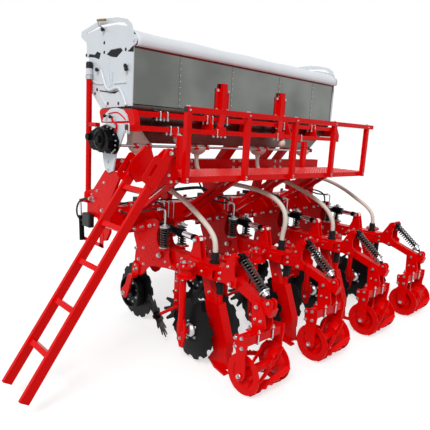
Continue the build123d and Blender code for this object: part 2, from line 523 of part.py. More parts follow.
# Platform: a folded deck with the ladder's lugs, four arms with struts and hangers, a railing
DECK = (-1415.0, 950.0, 300.0, 780.0, 1346.0)
deck = block(DECK[0], DECK[1], DECK[2], DECK[3], DECK[4], DECK[4] + 5)
for y0 in (DECK[2], DECK[3] - 5):
    deck += block(DECK[0], DECK[1], y0, y0 + 5, 1308, DECK[4])
LUG_Y = ((LADDER_Y[0] + 30, LADDER_Y[0] + 42), (LADDER_Y[1] - 42, LADDER_Y[1] - 30))
lug = [(DECK[0] + 40, 1351), (DECK[0] + 40, 1308), (-1450, 1308), (-1592, 1290), (-1660, 1382),
       (-1622, 1450),
       (-1530, 1530), (-1480, 1530), (-1440, 1420)]
for (y0, y1), end in zip(LUG_Y, (LADDER_Y[0] - 6, LADDER_Y[1] + 6)):
    deck += xz(lug, y0, y1)
    deck += rod((LADDER_PIN[0], (y0 + y1) / 2, LADDER_PIN[1]), (LADDER_PIN[0], end, LADDER_PIN[1]), 12)
keep("platform_deck", deck)
ARM_X, ARM_W = (-1280.0, -640.0, 0.0, 640.0), 50.0
ARM_LOW = DECK[4] - 38
arm = block(-ARM_W / 2, ARM_W / 2, DECK[2] + 5, DECK[3] - 5, ARM_LOW, DECK[4])
arm += block(-ARM_W / 2, ARM_W / 2, DECK[3] - 200, CROSS[0], ARM_LOW - 50, ARM_LOW)
braces = yz(strip((500, ARM_LOW), (BAR_REAR, 866), 30, 40), -20, 20)
braces += yz(strip((600, ARM_LOW), (BAR_REAR, 932), 30, 40), -20, 20)
arm += braces & block(-20, 20, DECK[2], BAR_REAR, BAR_LOW, ARM_LOW)
arms = [Pos(x, 0, 0) * arm for x in ARM_X]
HANGER_X = (-1030.0, 585.0)
for x in HANGER_X:
    arms.append(block(x - 27, x + 27, 870, 880, 1600, 1676) + block(x - 27, x + 27, DECK[3], 870, 1600, 1612)
                + block(x - 27, x + 27, DECK[3], DECK[3] + 40, 1310, 1612))
keep("platform_arms", arms)
POST_STEP, POST_W, RAIL_TOP = 565.0, 38.0, 1807.0
rail = block(DECK[0], DECK[1] + 10, DECK[2] - POST_W, DECK[2], RAIL_TOP - POST_W, RAIL_TOP)
for k in range(5):
    x = DECK[0] + k * POST_STEP
    rail += block(x, x + POST_W, DECK[2] - POST_W, DECK[2], 1310, RAIL_TOP)
keep("railing", rail)

# Ladder: two stiles, five rungs; it hinges on the pins of the platform's lugs
STILE_T, STILE_W, RUNG, RUNG_PITCH, RUNG_FIRST = 25.0, 60.0, 34.0, 278.0, 298.0
GUSSET_T = 4.5
stile = strip(LADDER_PIN, LADDER_FOOT, STILE_W)


def beside(distance, aside):
    """A place along the ladder, moved square to it, upward."""
    p, q = along(LADDER_PIN, LADDER_FOOT, distance), along(LADDER_PIN, LADDER_FOOT, distance + 1)
    return (p[0] + (q[1] - p[1]) * aside, p[1] - (q[0] - p[0]) * aside)


ladder = None
for y0 in (LADDER_Y[0], LADDER_Y[1] - STILE_T):
    side = xz(stile, y0, y0 + STILE_T)
    side += rod((LADDER_PIN[0], y0, LADDER_PIN[1]), (LADDER_PIN[0], y0 + STILE_T, LADDER_PIN[1]),
                STILE_W / 2)
    side -= rod((LADDER_PIN[0], y0 - 9, LADDER_PIN[1]), (LADDER_PIN[0], y0 + 90, LADDER_PIN[1]),
                12 + RUN_GAP)
    face = y0 - GUSSET_T if y0 == LADDER_Y[0] else y0 + STILE_T
    gusset = xz(strip(beside(66, 26), beside(262, 26), 132), face, face + GUSSET_T)
    gusset = fillet(gusset.edges().filter_by(Axis.Y), 28)
    window = xz(strip(beside(118, 48), beside(214, 48), 22), face, face + GUSSET_T)
    window = fillet(window.edges().filter_by(Axis.Y), 10)
    side += gusset - window
    ladder = side if ladder is None else ladder + side
slope = math.degrees(math.atan2(LADDER_PIN[1] - LADDER_FOOT[1], LADDER_PIN[0] - LADDER_FOOT[0]))
for k in range(5):
    x, z = along(LADDER_PIN, LADDER_FOOT, RUNG_FIRST + RUNG_PITCH * k)
    rung = Box(RUNG, LADDER_Y[1] - LADDER_Y[0] - 20, RUNG)
    ladder += Pos(x, sum(LADDER_Y) / 2, z) * Rot(0, 90 - slope, 0) * rung
keep("ladder", ladder)

# Seed hoses: one a row, from the funnel under the platform down to the socket
HOSE_R = 19.0
HOSE_HEAD = [(0, METER_Y, METER_LOW), (0, METER_Y, 1340), (0.15, 1066, 1262), (0.4, 985, 1226)]
HOSE_TAIL = [
    [(0.7, 865, 1214), (0.92, 735, 1180), (1, 585, 1122), (1, 440, 1050), (1, 328, 985), (1, 258, 925)],
    [(0.65, 830, 1216), (0.9, 640, 1204), (1, 455, 1180), (1, 310, 1132), (1, 228, 1055), (1, 212, 955)],
    [(0.7, 865, 1220), (0.92, 735, 1186), (1, 575, 1128), (1, 420, 1066), (1, 312, 1000), (1, 252, 920)],
    [(0.7, 865, 1212), (0.92, 735, 1176), (1, 585, 1116), (1, 445, 1042), (1, 335, 990), (1, 258, 925)],
]


def hose(points, radius):
    """A tube along straight runs joined by tangent arcs."""
    v = [Vector(*p) for p in points]
    radii = []
    for a, b, c in zip(v, v[1:], v[2:]):
        turn = math.radians((b - a).get_angle(c - b))
        shorter = min((b - a).length, (c - b).length)
        radii.append(0.45 * shorter / math.tan(turn / 2))
    line = FilletPolyline(*points, radius=radii)
    return sweep(Plane(origin=line @ 0, z_dir=line % 0) * Circle(radius), path=line), radii, line.length


for k, x in enumerate(UNIT_X):
    line = HOSE_HEAD + HOSE_TAIL[k] + [(1, SOCKET_Y, SOCKET_TOP + 45), (1, SOCKET_Y, SOCKET_TOP)]
    points = [(METER_X[k] + (x - METER_X[k]) * share, y, z) for share, y, z in line]
    tube, radii, length = hose(points, HOSE_R)
    print("hose", k + 1, "radii", [round(r) for r in radii], "length", round(length))
    keep(f"seed_hose_{k + 1}", tube)

# Frame: the ground under the middle of the whole
box = Compound([s for solids in NODES.values() for s in solids]).bounding_box()
SHIFT = (-(box.min.X + box.max.X) / 2, -(box.min.Y + box.max.Y) / 2, -box.min.Z)
print("shift", [round(c, 3) for c in SHIFT], "size", [round(c, 1) for c in box.size])
for name, solids in NODES.items():
    moved = [Pos(*SHIFT) * s for s in solids]
    export_step(moved[0] if len(moved) == 1 else Compound(moved), f"parts/{name}.step")
print("nodes", len(NODES), "solids", sum(len(s) for s in NODES.values()))
for name, solids in NODES.items():
    print(name, len(solids), round(sum(s.volume for s in solids) / 1e6, 3))
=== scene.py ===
# %% [markdown]
# A strip till cultivator, dressed for the studio.
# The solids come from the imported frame, and every piece made here rides on one of its bodies.
# Places are written as on the drawing board: millimetres, x across the rows from mid-machine,
# y forward from the pivot of the roller arms, z up from the ground.

# %% Load the frame
import math

import bmesh
import bpy
from mathutils import Matrix, Vector


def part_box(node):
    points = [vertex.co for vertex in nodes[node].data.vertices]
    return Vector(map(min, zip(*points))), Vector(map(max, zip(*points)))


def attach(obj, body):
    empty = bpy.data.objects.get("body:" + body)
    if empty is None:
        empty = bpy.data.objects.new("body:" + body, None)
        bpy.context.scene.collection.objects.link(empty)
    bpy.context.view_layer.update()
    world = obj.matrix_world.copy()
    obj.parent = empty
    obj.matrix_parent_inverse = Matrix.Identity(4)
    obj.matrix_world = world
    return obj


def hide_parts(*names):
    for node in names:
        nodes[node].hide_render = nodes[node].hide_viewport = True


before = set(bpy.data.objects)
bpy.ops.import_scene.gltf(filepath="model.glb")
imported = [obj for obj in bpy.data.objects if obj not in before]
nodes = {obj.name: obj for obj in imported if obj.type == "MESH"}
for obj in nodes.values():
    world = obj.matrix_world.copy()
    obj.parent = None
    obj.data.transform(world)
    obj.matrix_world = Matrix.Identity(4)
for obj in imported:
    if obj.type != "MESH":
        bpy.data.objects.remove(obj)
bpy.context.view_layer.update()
bar_low, bar_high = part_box("toolbar")
SHIFT = (bar_low + bar_high) / 2 - Vector((0.0, 1.280, 0.915))
ROWS = [-1.5 * 750, -0.5 * 750, 0.5 * 750, 1.5 * 750]
SIDES = (-1, 1)
PAIRS = [(x, s) for x in ROWS for s in SIDES]


def at(x, y, z):
    """A drawing-board place in millimetres as a point of the frame in metres."""
    return Vector((x, y, z)) / 1000 + SHIFT


def link(name, data):
    """A new object of that data, linked to the scene."""
    made = bpy.data.objects.new(name, data)
    bpy.context.scene.collection.objects.link(made)
    return made


print("frame", len(nodes), "nodes, drawing board moved by", tuple(round(c, 3) for c in SHIFT))

# %% [markdown]
# The camera stands where the photographer stood, 1.65 m above the ground behind the left ladder.
# Its aim was fitted to the four like row units, so it is written as three angles: the turn,
# the tilt and the small roll of a hand-held picture.

# %% Camera
TURN, TILT, ROLL = math.radians(-43.554), math.radians(-10.275), math.radians(3.374)
forward = Vector((-math.sin(TURN) * math.cos(TILT), math.cos(TURN) * math.cos(TILT), math.sin(TILT)))
level = forward.cross(Vector((0, 0, 1))).normalized()
above = level.cross(forward)
right = level * math.cos(ROLL) + above * math.sin(ROLL)
up = above * math.cos(ROLL) - level * math.sin(ROLL)
SENSOR_MM, FOCAL_PIXELS, FRAME_PIXELS = 36.0, 456.655, 430
lens = bpy.data.cameras.new("studio_camera")
lens.sensor_fit = "HORIZONTAL"
lens.sensor_width = SENSOR_MM
lens.lens = SENSOR_MM * FOCAL_PIXELS / FRAME_PIXELS
lens.clip_end = 200.0
camera = link("studio_camera", lens)
pose = Matrix((right, up, -forward)).transposed().to_4x4()
pose.translation = at(-3310, -2036, 1655)
camera.matrix_world = pose
bpy.context.scene.camera = camera
print("camera", [round(c, 3) for c in pose.translation], "lens", round(lens.lens, 2))

# %% [markdown]
# Nodes are added by one small function. Its inputs are plain values or the sockets of other nodes,
# and the same function serves the finishes and the Geometry Nodes trees.
# Colours are written as the hex values a paint chart would give, and one function makes them linear.

# %% Node and colour helpers
def fill(tree, node, inputs):
    """Set the inputs of a node to plain values, or link them to sockets."""
    for key, value in inputs.items():
        if isinstance(value, bpy.types.NodeSocket):
            tree.links.new(value, node.inputs[key])
        else:
            node.inputs[key].default_value = value


def put(tree, kind, inputs=None, **settings):
    """Add a node with its settings, and fill its inputs."""
    made = tree.nodes.new(kind)
    for key, value in settings.items():
        setattr(made, key, value)
    fill(tree, made, inputs or {})
    return made


def paint(code):
    """An sRGB hex colour as linear RGBA."""
    parts = [int(code[k:k + 2], 16) / 255 for k in (1, 3, 5)]
    return tuple(c / 12.92 if c <= 0.04045 else ((c + 0.055) / 1.055) ** 2.4 for c in parts) + (1.0,)


def blank(name):
    """A material with its shader, its output and Object coordinates."""
    material = bpy.data.materials.new(name)
    material.use_nodes = True
    tree = material.node_tree
    tree.nodes.clear()
    shader = put(tree, "ShaderNodeBsdfPrincipled")
    put(tree, "ShaderNodeOutputMaterial", {"Surface": shader.outputs[0]})
    return material, tree, shader, put(tree, "ShaderNodeTexCoord").outputs["Object"]


def per_metre(millimetres):
    """The scale of a pattern whose marks are that many millimetres apart."""
    return 1000.0 / millimetres


def two_tone(tree, vector, apart, detail, dark, light):
    """A noise with its marks that many millimetres apart, and the mix of two tones by it."""
    noise = put(tree, "ShaderNodeTexNoise", {"Vector": vector, "Scale": per_metre(apart), "Detail": detail})
    tone = put(tree, "ShaderNodeMix", {"Factor": noise.outputs["Fac"], "A": paint(dark), "B": paint(light)},
               data_type="RGBA")
    return noise.outputs["Fac"], tone


def dress(tree, shader, tone, gloss, bump, others):
    """Join a tone, a gloss and a bump to the shader, and fill its other inputs."""
    fill(tree, shader, {"Base Color": tone.outputs["Result"], "Roughness": gloss.outputs["Result"],
                        "Normal": bump.outputs["Normal"], **others})


# %% [markdown]
# The frame is welded steel in a glossy red enamel, sprayed and baked.
# Enamel shows a faint orange peel, drifts a little in tone over a hand's width where the coat is thicker,
# and has a clear skin that gives highlights. The peel is a few millimetres wide on the real paint.
# The deck's tread plate is glossier, so it takes a sheen at low angles, and its red is a little lighter:
# painted light for its lit top.
# Springs are dipped in a shiny black lacquer.

# %% Enamels
def enamel(name, light, dark, rough, peel, coat, shine):
    """A sprayed paint: slow drift of tone, peel in the bump, uneven gloss."""
    material, tree, shader, where = blank(name)
    tone = two_tone(tree, where, 180, 3.0, dark, light)[1]
    smear = put(tree, "ShaderNodeTexNoise", {"Vector": where, "Scale": per_metre(45), "Detail": 4.0})
    gloss = put(tree, "ShaderNodeMapRange",
                {"Value": smear.outputs["Fac"], "To Min": rough * 0.75, "To Max": rough * 1.3})
    skin = put(tree, "ShaderNodeTexNoise", {"Vector": where, "Scale": per_metre(peel), "Detail": 1.0})
    bump = put(tree, "ShaderNodeBump", {"Height": skin.outputs["Fac"], "Strength": 0.05, "Distance": 0.0004})
    dress(tree, shader, tone, gloss, bump,
          {"Coat Weight": coat, "Coat Roughness": 0.12, "Specular IOR Level": shine})
    return material


# columns: name, light tone, dark tone, roughness, peel in mm, clear coat, shine
red_enamel = enamel("red_baked_enamel", "#DE0203", "#D00102", 0.28, 3.0, 0.03, 0.08)
# painted light: the deck's red is a little lighter than the frame's, for its lit top; its gloss is real
deck_enamel = enamel("red_tread_plate_enamel", "#E80A06", "#D80603", 0.34, 3.0, 0.30, 0.5)
white_enamel = enamel("white_grey_baked_enamel", "#D6DCE2", "#CBD2D8", 0.38, 3.0, 0.2, 0.5)
black_enamel = enamel("black_gloss_enamel", "#0E0E10", "#08080A", 0.24, 3.0, 0.0, 0.05)
disc_black = enamel("black_satin_disc_paint", "#0D0E0F", "#080808", 0.40, 4.0, 0.0, 0.12)
spring_black = enamel("black_baked_spring_lacquer", "#0E0E0F", "#09090A", 0.16, 3.0, 0.5, 0.5)
print("enamels",
      [m.name for m in (red_enamel, deck_enamel, white_enamel, black_enamel, disc_black, spring_black)])

# %% [markdown]
# Bare metals come next. The hopper is cold-rolled stainless sheet with a fine lengthwise grain,
# and its trough is a rougher, darker copy of the same sheet; the darker tone is painted shade for the
# underside.
# Bolts are zinc plated with a soft spangle, and the piston rods are hard chrome.
# The rolling grain is about 0.3 mm on the real sheet and is drawn 2 mm wide so that it shows.

# %% Metals
def metal(name, light, dark, rough, grain, stretch, depth, haze=0.0):
    """A metal with a grain stretched along x, in tone, gloss and bump, and a broad cloudy haze."""
    material, tree, shader, where = blank(name)
    lie = put(tree, "ShaderNodeMapping", {"Vector": where, "Scale": (1.0 / stretch, 1.0, 1.0)})
    mark, tone = two_tone(tree, lie.outputs[0], grain, 4.0, dark, light)
    cloud = put(tree, "ShaderNodeTexNoise",
                {"Vector": where, "Scale": per_metre(420), "Detail": 2.0, "Roughness": 0.4})
    depth_of = put(tree, "ShaderNodeMapRange",
                   {"Value": cloud.outputs["Fac"], "From Min": 0.3, "From Max": 0.7,
                    "To Min": 1.0 - haze, "To Max": 1.0})
    shade = put(tree, "ShaderNodeMix",
                {"Factor": 1.0, "A": tone.outputs["Result"], "B": depth_of.outputs["Result"]},
                data_type="RGBA", blend_type="MULTIPLY")
    gloss = put(tree, "ShaderNodeMapRange", {"Value": mark, "To Min": rough * 0.7, "To Max": rough * 1.35})
    bump = put(tree, "ShaderNodeBump", {"Height": mark, "Strength": depth, "Distance": 0.0004})
    dress(tree, shader, shade, gloss, bump, {"Metallic": 1.0})
    return material


# columns: name, light tone, dark tone, roughness, grain in mm, its stretch, depth of the bump, haze
stainless = metal("rolled_stainless_sheet", "#8E908C", "#7B7E7A", 0.16, 2.0, 80.0, 0.03, 0.40)
# painted shade: the trough's darker copy of the stainless stands in for the shade under the hopper
dull_stainless = metal("dull_pickled_stainless_sheet", "#74716C", "#5F5C58", 0.24, 2.0, 80.0, 0.03, 0.40)
zinc = metal("zinc_plated_steel", "#D2D4D6", "#A9ACAF", 0.30, 6.0, 1.0, 0.05)
chrome = metal("hard_chrome", "#E2E4E8", "#D0D2D6", 0.08, 8.0, 1.0, 0.01)
print("metals", [m.name for m in (stainless, dull_stainless, zinc, chrome)])

# %% [markdown]
# Plastics and rubber are moulded, so they have a fine even texture and no metal shine.
# The seed hose is a beige PVC wall round a stiff spiral; cuffs and boots are black rubber.
# The crank's grip is ochre, and the hopper's red rim under the cloth is darkened: painted shade under the
# cloth's edge.

# %% Plastics and rubber
def moulded(name, light, dark, rough, texture, depth, shine=0.5):
    """A moulded surface: slight drift of tone and a fine grained skin."""
    material, tree, shader, where = blank(name)
    drift, tone = two_tone(tree, where, 60, 2.0, dark, light)
    skin = put(tree, "ShaderNodeTexVoronoi", {"Vector": where, "Scale": per_metre(texture)})
    bump = put(tree, "ShaderNodeBump",
               {"Height": skin.outputs["Distance"], "Strength": depth, "Distance": 0.0003})
    gloss = put(tree, "ShaderNodeMapRange", {"Value": drift, "To Min": rough * 0.85, "To Max": rough * 1.15})
    dress(tree, shader, tone, gloss, bump, {"Specular IOR Level": shine})
    return material


# columns: name, light tone, dark tone, roughness, texture in mm, depth of the bump, shine
hose_pvc = moulded("beige_spiral_pvc", "#DCD2C7", "#CFC4B8", 0.42, 2.0, 0.05)
bucket_plastic = moulded("beige_moulded_plastic", "#E0D6CB", "#D2C7BA", 0.40, 2.0, 0.06)
rubber = moulded("black_moulded_rubber", "#141415", "#0D0D0E", 0.55, 1.5, 0.15, 0.25)
black_plastic = moulded("black_moulded_plastic", "#161718", "#0F1011", 0.38, 1.5, 0.08, 0.3)
grip_plastic = moulded("ochre_moulded_grip", "#94752A", "#77591B", 0.42, 2.0, 0.1)
# painted shade: the red rim is darkened where it lies under the cloth's edge
edge_trim = moulded("dark_red_edge_trim", "#8C1115", "#780D11", 0.45, 2.0, 0.05, 0.3)
print("plastics",
      [m.name for m in (hose_pvc, bucket_plastic, rubber, black_plastic, grip_plastic, edge_trim)])

# %% [markdown]
# Each solid that keeps its own shape gets the finish of the real piece.
# Plates, rods and turned pieces look up a slot name from their finish, which is passed on but not used.

# %% Finishes of the solids and slots of the finishes
SLOTS = {
    "red_paint": (red_enamel, deck_enamel, edge_trim), "white_paint": (white_enamel,),
    "black_paint": (black_enamel, disc_black, black_plastic), "chrome": (zinc, chrome),
    "stainless": (stainless,), "beige_plastic": (bucket_plastic, grip_plastic),
}
SLOT_OF = {finish.name: slot for slot, finishes in SLOTS.items() for finish in finishes}
DISC_WHEELS = ("disc_left", "disc_right", "cleaner_left", "cleaner_right", "coulter")
FINISH = {
    "trip_barrels": black_enamel, "spring_struts": black_enamel, "meter_drive": black_enamel,
    "roller_springs": black_enamel, "hose_sockets": rubber, "trip_rods": chrome,
    # the trough takes the darker copy of the stainless, painted shade
    "hopper_trough": dull_stainless, "hopper_walls": stainless, "hopper_end_left": white_enamel,
    "hopper_end_right": white_enamel, "drive_bracket": white_enamel, "meter_units": bucket_plastic,
}
for name, solid in nodes.items():
    finish = disc_black if name[:-2] in DISC_WHEELS else FINISH.get(name, red_enamel)
    solid.data.materials.clear()
    solid.data.materials.append(finish)
print("finished", len(nodes), "solids")

# %% [markdown]
# The studio: a wide pale floor, an even sky and one broad sun that stands behind the camera's left shoulder.
# The floor adds a little glow for camera and glossy rays so that it reaches white, and keeps the shadow.

# %% Floor and light
FLOOR_REACH, FLOOR_GLOW, SKY_FILL = 60.0, 0.58, 0.62
SUN_STRENGTH, SUN_SPREAD, SUN_WAY = 1.95, math.radians(24), Vector((0.72, 0.42, -0.80))


def shown(tree):
    """1 for camera and glossy rays, 0 for the rays that light the object."""
    path = put(tree, "ShaderNodeLightPath")
    seen = put(tree, "ShaderNodeMath",
               {0: path.outputs["Is Camera Ray"], 1: path.outputs["Is Glossy Ray"]}, operation="MAXIMUM")
    return seen.outputs[0]


floor_mesh = bpy.data.meshes.new("studio_floor")
corners = [(x * FLOOR_REACH, y * FLOOR_REACH, 0) for x, y in ((-1, -1), (1, -1), (1, 1), (-1, 1))]
floor_mesh.from_pydata(corners, [], [(0, 1, 2, 3)])
floor = link("studio_floor", floor_mesh)
pale, tree, shader, where = blank("pale_studio_floor")
glow = put(tree, "ShaderNodeMath", {0: shown(tree), 1: FLOOR_GLOW}, operation="MULTIPLY")
fill(tree, shader, {"Base Color": paint("#BDBDBD"), "Roughness": 0.9, "Specular IOR Level": 0.0,
                    "Emission Strength": glow.outputs[0], "Emission Color": (1, 1, 1, 1)})
floor_mesh.materials.append(pale)

world = bpy.data.worlds.new("even_sky")
bpy.context.scene.world = world
world.use_nodes = True
tree = world.node_tree
tree.nodes.clear()
level_of = put(tree, "ShaderNodeMapRange", {"Value": shown(tree), "To Min": SKY_FILL, "To Max": 1.0})
sky = put(tree, "ShaderNodeBackground", {"Color": (1, 1, 1, 1), "Strength": level_of.outputs["Result"]})
put(tree, "ShaderNodeOutputWorld", {"Surface": sky.outputs[0]})

sun = bpy.data.lights.new("broad_sun", "SUN")
sun.energy = SUN_STRENGTH
sun.angle = SUN_SPREAD
lamp = link("broad_sun", sun)
lamp.matrix_world = SUN_WAY.to_track_quat("-Z", "Y").to_matrix().to_4x4()
bpy.context.scene.view_settings.view_transform = "Standard"
print("studio floor, sky and sun set")

# %% [markdown]
# Small pieces are made as plain meshes, or by Geometry Nodes trees whose result is kept as a mesh.
# A piece is finished by giving it a name and its body.
# Turned parts, bolts and springs are set on seats: a place, the way it faces and a size.

# %% Making and keeping pieces
def mesh_object(name, verts, faces, material, smooth=False):
    """A mesh object from points in the frame and its faces, with outward normals."""
    mesh = bpy.data.meshes.new(name)
    mesh.from_pydata([tuple(v) for v in verts], [], faces)
    work = bmesh.new()
    work.from_mesh(mesh)
    bmesh.ops.remove_doubles(work, verts=work.verts, dist=1e-6)
    bmesh.ops.recalc_face_normals(work, faces=work.faces)
    work.to_mesh(mesh)
    work.free()
    if smooth:
        mesh.shade_smooth()
    mesh.materials.append(material)
    return link(name, mesh)


def settle(made, body, slot, *stands_for):
    """Let a finished piece ride on its body and hide the solids it stands for; the slot is not used."""
    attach(made, body)
    if stands_for:
        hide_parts(*stands_for)
    return made


def new_tree(name, sizes):
    """A Geometry Nodes tree with a geometry input and named size inputs."""
    tree = bpy.data.node_groups.new(name, "GeometryNodeTree")
    tree.interface.new_socket("Geometry", in_out="INPUT", socket_type="NodeSocketGeometry")
    for label, value in sizes.items():
        kind = "NodeSocketInt" if isinstance(value, int) else "NodeSocketFloat"
        tree.interface.new_socket(label, in_out="INPUT", socket_type=kind).default_value = value
    tree.interface.new_socket("Material", in_out="INPUT", socket_type="NodeSocketMaterial")
    tree.interface.new_socket("Geometry", in_out="OUTPUT", socket_type="NodeSocketGeometry")
    return tree, tree.nodes.new("NodeGroupInput").outputs


def close_tree(tree, shape, material):
    """Realize what was instanced, set the finish and join the output."""
    real = put(tree, "GeometryNodeRealizeInstances", {"Geometry": shape})
    coat = put(tree, "GeometryNodeSetMaterial", {"Geometry": real.outputs[0], "Material": material})
    put(tree, "NodeGroupOutput", {0: coat.outputs[0]})


def along_axis(tree):
    """The rotation that lays an instance along the axis of its seat."""
    axis = put(tree, "GeometryNodeInputNamedAttribute", {"Name": "axis"}, data_type="FLOAT_VECTOR")
    return put(tree, "FunctionNodeAlignRotationToVector", {"Vector": axis.outputs[0]}, axis="Z").outputs[0]


def baked(made):
    """The evaluated shape of an object as a plain mesh."""
    graph = bpy.context.evaluated_depsgraph_get()
    return bpy.data.meshes.new_from_object(made.evaluated_get(graph), depsgraph=graph)


def grow(name, source, tree, **sizes):
    """Evaluate a tree on a source object and keep the result as a plain mesh object."""
    modifier = source.modifiers.new("grow", "NODES")
    modifier.node_group = tree
    for item in tree.interface.items_tree:
        if item.in_out == "INPUT" and item.name in sizes:
            modifier[item.identifier] = sizes[item.name]
    bpy.context.view_layer.update()
    mesh = baked(source)
    source.modifiers.remove(modifier)
    bpy.data.objects.remove(source)
    mesh.name = name
    return link(name, mesh)


FACING = {"up": (0, 0, 1), "down": (0, 0, -1), "back": (0, -1, 0), "front": (0, 1, 0),
          "left": (-1, 0, 0), "right": (1, 0, 0)}
SIDE_FACE = {-1: "left", 1: "right"}


def seat(x, y, z, facing="up", size=1.0):
    """A seat for a piece: its place, the way it faces and its size."""
    return at(x, y, z), FACING[facing], size


def marks(name, seats):
    """A cloud of points that carry an axis and a size, for trees that instance on them."""
    mesh = bpy.data.meshes.new(name)
    mesh.from_pydata([tuple(place) for place, axis, size in seats], [], [])
    axes = mesh.attributes.new("axis", "FLOAT_VECTOR", "POINT")
    axes.data.foreach_set("vector", [c for place, axis, size in seats for c in axis])
    sizes = mesh.attributes.new("size", "FLOAT", "POINT")
    sizes.data.foreach_set("value", [size for place, axis, size in seats])
    return link(name, mesh)


# %% [markdown]
# The seed hoses. Each leaves the funnel of its meter, passes under the platform and drops in one long bow
# into the cuff on the row unit. The line is a NURBS spline through the route's own points.
# The wall is swept along that line, and a low spiral ridge is raised on it as the real hose has.

# %% Seed hoses
METER_X = (-1215.0, -590.0, 232.0, 985.0)
HOSE_HEAD = [(0, 1112, 1425), (0, 1112, 1340), (0.15, 1066, 1262), (0.4, 985, 1226)]
HOSE_TAIL = [
    [(0.7, 865, 1214), (0.92, 735, 1180), (1, 585, 1122), (1, 440, 1050), (1, 328, 985), (1, 258, 925)],
    [(0.65, 830, 1216), (0.9, 640, 1204), (1, 455, 1180), (1, 310, 1132), (1, 228, 1055), (1, 212, 955)],
    [(0.7, 865, 1220), (0.92, 735, 1186), (1, 575, 1128), (1, 420, 1066), (1, 312, 1000), (1, 252, 920)],
    [(0.7, 865, 1212), (0.92, 735, 1176), (1, 585, 1116), (1, 445, 1042), (1, 335, 990), (1, 258, 925)],
]
HOSE_FOOT = [(1, 235, 860), (1, 235, 815)]

spiral_wall, given = new_tree("spiral_hose_wall",
                              {"Radius": 0.019, "Ridge": 0.0009, "Pitch": 0.011, "Step": 0.0028})
even = put(spiral_wall, "GeometryNodeResampleCurve", {"Curve": given["Geometry"], "Length": given["Step"]},
           mode="LENGTH")
run = put(spiral_wall, "GeometryNodeCaptureAttribute", {"Geometry": even.outputs[0]}, domain="POINT")
run.capture_items.new("FLOAT", "run")
spline_at = put(spiral_wall, "GeometryNodeSplineParameter")
spiral_wall.links.new(spline_at.outputs["Length"], run.inputs[1])
ring = put(spiral_wall, "GeometryNodeCurvePrimitiveCircle", {"Resolution": 16, "Radius": given["Radius"]})
turn = put(spiral_wall, "GeometryNodeCaptureAttribute", {"Geometry": ring.outputs[0]}, domain="POINT")
turn.capture_items.new("FLOAT", "turn")
ring_at = put(spiral_wall, "GeometryNodeSplineParameter")
spiral_wall.links.new(ring_at.outputs["Factor"], turn.inputs[1])
wall = put(spiral_wall, "GeometryNodeCurveToMesh",
           {"Curve": run.outputs[0], "Profile Curve": turn.outputs[0], "Fill Caps": True})
lift = run.outputs[1]
for operation, by in (("DIVIDE", given["Pitch"]), ("ADD", turn.outputs[1]), ("MULTIPLY", 2 * math.pi),
                      ("SINE", 0.0), ("MULTIPLY", given["Ridge"])):
    lift = put(spiral_wall, "ShaderNodeMath", {0: lift, 1: by}, operation=operation).outputs[0]
outward = put(spiral_wall, "GeometryNodeInputNormal")
push = put(spiral_wall, "ShaderNodeVectorMath", {0: outward.outputs[0], "Scale": lift}, operation="SCALE")
ridged = put(spiral_wall, "GeometryNodeSetPosition", {"Geometry": wall.outputs[0], "Offset": push.outputs[0]})
soft = put(spiral_wall, "GeometryNodeSetShadeSmooth", {"Geometry": ridged.outputs[0]})
close_tree(spiral_wall, soft.outputs[0], given["Material"])


def add_line(curve, points):
    """A NURBS spline with the given points as its control points."""
    spline = curve.splines.new("NURBS")
    spline.points.add(len(points) - 1)
    for knot, point in zip(spline.points, points):
        knot.co = (*point, 1.0)
    spline.order_u = 3
    spline.use_endpoint_u = True


def route(name, points):
    """A bare NURBS line."""
    line = bpy.data.curves.new(name, "CURVE")
    line.dimensions = "3D"
    line.resolution_u = 16
    add_line(line, points)
    return link(name, line)


def line_of(curve):
    """The points of a bare route, and its length."""
    bare = baked(curve)
    points = [v.co.copy() for v in bare.vertices]
    bpy.data.meshes.remove(bare)
    return points, sum((b - a).length for a, b in zip(points, points[1:]))


for k, x in enumerate(ROWS):
    board = HOSE_HEAD + HOSE_TAIL[k] + HOSE_FOOT
    knots = [at(METER_X[k] + (x - METER_X[k]) * share, y, z) for share, y, z in board]
    curve = route(f"seed_hose_route_{k + 1}", knots)
    path_points, length = line_of(curve)
    hose = grow(f"seed_hose_wall_{k + 1}", curve, spiral_wall, Material=hose_pvc)
    settle(hose, "frame", "beige_plastic", f"seed_hose_{k + 1}")
    print("seed hose", k + 1, "length", round(length, 3), "faces", len(hose.data.polygons))

# %% [markdown]
# The hopper is closed by a roll-over tarpaulin, a woven polyester coated with pale grey PVC.
# It lies over bows, dips a little between them, and its rear hem is wound on a roll tube that a crank turns.
# The section is a smooth line through a few places, and the cloth is a grid swept along the hopper.
# The threads are about 1 mm apart and are drawn 10 mm apart so that they show.

# %% Tarpaulin
cloth, tree, shader, where = blank("pvc_coated_tarpaulin")
drift, tone = two_tone(tree, where, 220, 3.0, "#CED3D8", "#DCDFE3")
THREADS = per_metre(5) / 6.2832  # a wave node runs 20 radians in a unit of its scale
warp = put(tree, "ShaderNodeTexWave", {"Vector": where, "Scale": THREADS}, bands_direction="X")
weft = put(tree, "ShaderNodeTexWave", {"Vector": where, "Scale": THREADS}, bands_direction="Y")
weave = put(tree, "ShaderNodeMath", {0: warp.outputs["Fac"], 1: weft.outputs["Fac"]}, operation="MULTIPLY")
bump = put(tree, "ShaderNodeBump", {"Height": weave.outputs[0], "Strength": 0.12, "Distance": 0.0005})
gloss = put(tree, "ShaderNodeMapRange", {"Value": drift, "To Min": 0.42, "To Max": 0.58})
dress(tree, shader, tone, gloss, bump, {})

